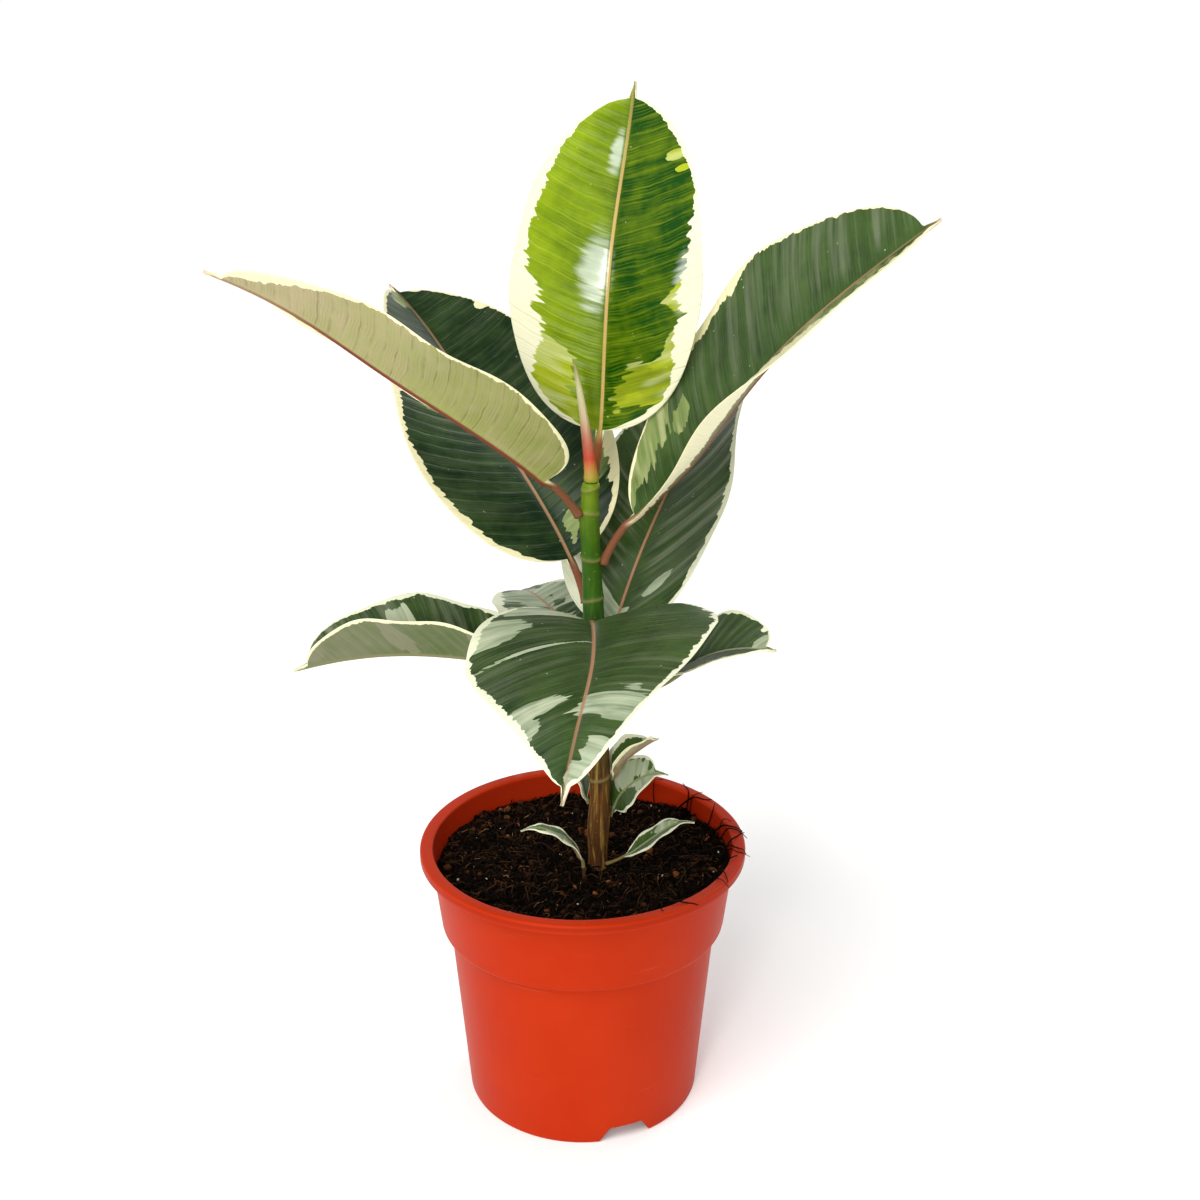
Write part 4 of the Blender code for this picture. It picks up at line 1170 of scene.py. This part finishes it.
def round_places(chance, count, reach):
    """Random places spread evenly over a disc, except at its very middle."""
    radius = reach * np.sqrt(chance.uniform(0.004, 1, count))
    heading = chance.uniform(0, 2 * math.pi, count)
    return radius * np.cos(heading), radius * np.sin(heading)


def random_turns(chance, count):
    """Random rotation matrices, from the QR factors of random matrices."""
    factors, upper = np.linalg.qr(chance.normal(size=(count, 3, 3)))
    factors = factors * np.sign(np.diagonal(upper, axis1=1, axis2=2))[:, None]
    return factors * np.sign(np.linalg.det(factors))[:, None, None]


def ball():
    """Points and triangles of an octahedron whose edges are halved once and pushed out round."""
    corners = np.array([[1, 0, 0], [-1, 0, 0], [0, 1, 0], [0, -1, 0], [0, 0, 1], [0, 0, -1]], float)
    faces = [(0, 2, 4), (2, 1, 4), (1, 3, 4), (3, 0, 4), (2, 0, 5), (1, 2, 5), (3, 1, 5), (0, 3, 5)]
    points = [tuple(corner) for corner in corners]
    small = []
    for a, b, c in faces:
        middle = []
        for p, q in ((a, b), (b, c), (c, a)):
            half = (corners[p] + corners[q]) / 2
            half = tuple(half / np.linalg.norm(half))
            if half not in points:
                points.append(half)
            middle.append(points.index(half))
        ab, bc, ca = middle
        small += [(a, ab, ca), (b, bc, ab), (c, ca, bc), (ab, bc, ca)]
    return np.array(points), np.array(small)


def scatter(name, count, sizes, flatness, reach, sink, finish, seed):
    """Crumbs: copies of one ball, each dented by noise, stretched, turned and set on the soil."""
    chance = np.random.default_rng(seed)
    shape, faces = ball()
    x, y = round_places(chance, count, reach)
    size = chance.uniform(*sizes, count)
    stretch = chance.uniform(flatness, 1.0, (count, 3)) * size[:, None]
    dents = 1 + 0.35 * grain(shape[None] + chance.uniform(0, 90, (count, 1, 3)), 0.9, seed)
    local = shape[None] * dents[..., None] * stretch[:, None] / 2
    turned = np.einsum("nij,nkj->nki", random_turns(chance, count), local)
    centre = np.stack([x, y, soil_top(x, y) + size * sink], -1)
    points = turned + centre[:, None]
    wall = wall_radius(points[..., 2]) - 0.0004
    out = np.maximum(np.hypot(points[..., 0], points[..., 1]) / wall, 1)
    points[..., :2] = points[..., :2] / out[..., None]
    tint = np.repeat(chance.uniform(0, 1, count), len(shape))
    triangles = copies(faces, count, len(shape))
    piece = make_piece(name, points, triangles, (), {"tint": tint}, None)
    finish.paint(piece)


def strands(name, count, lengths, thick, finish, seed, lie=0.0016):
    """Thin fibres lying on the soil: each is a bent line whose heading drifts along its length,
    lifted a little by a bow, with a five-sided tube round it."""
    chance = np.random.default_rng(seed)
    rows, sides = 10, 5
    reach, limit = 0.070, 0.0745
    x, y = round_places(chance, count, reach)
    length = chance.uniform(*lengths, count)
    heading = chance.uniform(0, 2 * math.pi, count)
    bend = chance.normal(0, 1.3, count)
    share = np.linspace(0, 1, rows)
    angle = heading[:, None] + bend[:, None] * share + 0.5 * np.sin(share * 9 + heading[:, None])
    step = length[:, None] / rows
    px = x[:, None] + np.cumsum(np.cos(angle) * step, axis=1)
    py = y[:, None] + np.cumsum(np.sin(angle) * step, axis=1)
    out = np.maximum(np.hypot(px, py) / limit, 1)
    px, py = px / out, py / out
    bow = chance.uniform(0.1, 1.0, count)[:, None] * np.sin(share * math.pi) * lie
    pz = soil_top(px, py) + 0.0005 + bow
    turns = np.arange(sides) * 2 * math.pi / sides
    across = np.stack([-np.sin(angle), np.cos(angle), 0 * angle], -1)
    up = np.array([0, 0, 1.0])
    thin = thick * chance.uniform(0.5, 1.2, count)[:, None] * (1 - 0.6 * np.abs(2 * share - 1) ** 3)
    ring = across[:, :, None] * np.cos(turns)[:, None] + up * np.sin(turns)[:, None]
    points = np.stack([px, py, pz], -1)[:, :, None] + ring * thin[:, :, None, None]
    quads = copies(closed_grid(rows, sides), count, rows * sides)
    caps = copies(np.array(end_caps(rows, sides)), count, rows * sides)
    tint = np.repeat(chance.uniform(0, 1, count), rows * sides)
    piece = make_piece(name, points, quads, caps, {"tint": tint}, None)
    finish.paint(piece)


def build_rim_roots():
    """A few dark roots that lie over the rim: each runs outwards from the soil, over the wall and
    down a little, with a sway along the rim."""
    # (heading, how far it hangs past the rim, sway along the rim in degrees)
    roots = ((52, -0.003, 7), (47, 0.000, -8), (40, -0.002, 9), (33, -0.001, -6), (27, -0.004, 5),
             (12, 0.000, -7), (7, -0.003, 8), (3, 0.002, 5), (-1, 0.001, -8), (-6, 0.003, 4),
             (-11, 0.001, -6), (-18, -0.003, 7), (-27, 0.002, -5), (-33, 0.000, 8),
             (-52, 0.001, -6), (-56, -0.002, 5))
    rows, sides = 26, 7
    inner, climb_from, wall = 0.068, 0.070, wall_radius(RIM_HEIGHT)
    share = np.linspace(0, 1, rows)
    lines = []
    for k, (heading, past, sway) in enumerate(roots):
        radius = inner + (RIM_RADIUS + past - inner) * share
        turn = np.radians(heading + sway * np.sin(share * 2.4 + k))
        rise = smooth_step((radius - climb_from) / (wall - climb_from))
        ground = soil_top(radius * np.cos(turn), radius * np.sin(turn))
        height = ground + (RIM_HEIGHT + 0.0006 - ground) * rise + 0.0005 * np.sin(share * 11 + k)
        height = height - 0.8 * np.clip(radius - RIM_RADIUS + 0.0008, 0, None)
        lines.append(np.stack([radius * np.cos(turn), radius * np.sin(turn), height], -1))
    thick = 0.0007 * (1 - 0.65 * share)
    tubes = [tube(line, thick * (0.6 + 0.4 * (k % 3) / 2), sides) for k, line in enumerate(lines)]
    points = np.array(tubes)
    quads = copies(closed_grid(rows, sides)[:, ::-1], len(roots), rows * sides)
    caps = copies(np.array(end_caps(rows, sides))[:, ::-1], len(roots), rows * sides)
    tint = np.zeros(points.shape[:-1])
    piece = make_piece("rim_roots", points, quads, caps, {"tint": tint}, None)
    crumb_finish("dark root", (0.0, (0.003, 0.002, 0.001)), (1.0, (0.018, 0.008, 0.004))).paint(piece)


def build_soil_litter():
    """Crumbs, chips, white grains and two kinds of fibre, all lying on the soil."""
    peat = crumb_finish(
        "peat crumbs",
        (0.00, (0.001, 0.0007, 0.0005)),
        (0.55, (0.004, 0.0024, 0.0015)),
        (0.85, (0.013, 0.006, 0.003)),
        (1.00, (0.050, 0.020, 0.008)),
    )
    bark = crumb_finish(
        "bark bits",
        (0.00, (0.008, 0.004, 0.002)),
        (0.50, (0.026, 0.010, 0.004)),
        (0.85, (0.100, 0.034, 0.010)),
        (1.00, (0.280, 0.100, 0.030)),
    )
    dark_fibre = crumb_finish(
        "dark fibre",
        (0.00, (0.001, 0.0007, 0.0005)),
        (0.60, (0.005, 0.003, 0.0016)),
        (1.00, (0.040, 0.017, 0.007)),
    )
    pale_fibre = crumb_finish(
        "plant fibre",
        (0.00, (0.020, 0.010, 0.004)),
        (0.50, (0.080, 0.034, 0.010)),
        (1.00, (0.260, 0.130, 0.045)),
    )
    perlite = crumb_finish("perlite", (0.0, (0.45, 0.43, 0.38)), (1.0, (0.70, 0.68, 0.62)))
    scatter("peat_crumbs", 4600, (0.0008, 0.0036), 0.45, 0.0765, 0.15, peat, 11)
    scatter("bark_bits", 300, (0.0015, 0.0060), 0.16, 0.0750, 0.22, bark, 12)
    scatter("perlite_grains", 34, (0.0006, 0.0018), 0.7, 0.0720, 0.45, perlite, 13)
    strands("dark_fibres", 1700, (0.004, 0.018), 0.00034, dark_fibre, 14, 0.0036)
    strands("pale_fibres", 130, (0.004, 0.013), 0.00026, pale_fibre, 15)


# ---- studio ------------------------------------------------------------------------------------
def build_studio():
    """Camera, a white world that dims overhead, three lights and a pale floor."""
    scene = bpy.context.scene
    scene.view_settings.view_transform = "Standard"
    camera = bpy.data.objects.new("camera", bpy.data.cameras.new("camera"))
    scene.collection.objects.link(camera)
    camera.location = (0.0093, -0.7645, 0.5688)
    camera.rotation_euler = (math.radians(90 - 20.78), 0, 0)
    camera.data.sensor_width = 36.0
    camera.data.lens = 49.5
    camera.data.clip_start = 0.01
    scene.camera = camera

    world = bpy.data.worlds.new("studio")
    world.use_nodes = True
    tree = world.node_tree
    background = tree.nodes["Background"]
    direction = tree.nodes.new("ShaderNodeTexCoord")
    parts = tree.nodes.new("ShaderNodeSeparateXYZ")
    ceiling = tree.nodes.new("ShaderNodeMapRange")
    tree.links.new(direction.outputs["Generated"], parts.inputs[0])
    tree.links.new(parts.outputs["Z"], ceiling.inputs["Value"])
    tree.links.new(ceiling.outputs["Result"], background.inputs["Strength"])
    ceiling.interpolation_type = "SMOOTHSTEP"
    ceiling.inputs["From Min"].default_value = 0.38
    ceiling.inputs["From Max"].default_value = 0.80
    ceiling.inputs["To Min"].default_value = 1.02
    ceiling.inputs["To Max"].default_value = 0.42
    background.inputs["Color"].default_value = (1.0, 1.0, 1.0, 1.0)
    scene.world = world

    # (name, kind, place, size, power, colour): the sun's size is the angle of its disc
    lights = (
        ("key light", "SUN", (-0.55, -0.80, 1.60), math.radians(32), 1.9, (1.0, 0.985, 0.96)),
        ("front light", "AREA", (-0.40, -1.62, 0.76), 0.34, 13.0, (1.0, 0.99, 0.97)),
        ("back light", "AREA", (0.90, 1.30, 1.60), 0.90, 12.0, (0.97, 0.99, 1.0)),
    )
    for name, kind, place, size, power, colour in lights:
        light = bpy.data.objects.new(name, bpy.data.lights.new(name, kind))
        scene.collection.objects.link(light)
        setattr(light.data, "angle" if kind == "SUN" else "size", size)
        light.data.energy = power
        light.data.color = colour
        light.location = place
        light.visible_camera = False
        aim = np.array([0.0, 0.0, 0.25]) - np.array(place)
        rise = math.atan2(aim[2], math.hypot(aim[0], aim[1]))
        light.rotation_euler = (math.pi / 2 + rise, 0, math.atan2(aim[1], aim[0]) - math.pi / 2)

    x, y = np.meshgrid(np.linspace(-6, 6, 3), np.linspace(-6, 6, 3), indexing="xy")
    points = np.stack([x, y, 0 * x - 0.0002], -1).reshape(-1, 3)
    faces = [(a, a + 1, a + 4, a + 3) for a in (0, 1, 3, 4)]
    mesh = bpy.data.meshes.new("floor")
    mesh.from_pydata(points.tolist(), [], faces)
    floor = bpy.data.objects.new("floor", mesh)
    scene.collection.objects.link(floor)
    finish = Finish("pale floor", Roughness=0.75, Specular_IOR_Level=0.1)
    cloud = finish.noise(finish.place(), 3.0, 2.0)
    finish.use(Base_Color=finish.mix(cloud, (0.93, 0.93, 0.92), (0.95, 0.95, 0.95)))
    finish.paint(floor)


build_leaves()
build_stem()
build_bud()
build_shoot()
build_pot()
build_soil()
build_soil_litter()
build_rim_roots()
build_studio()
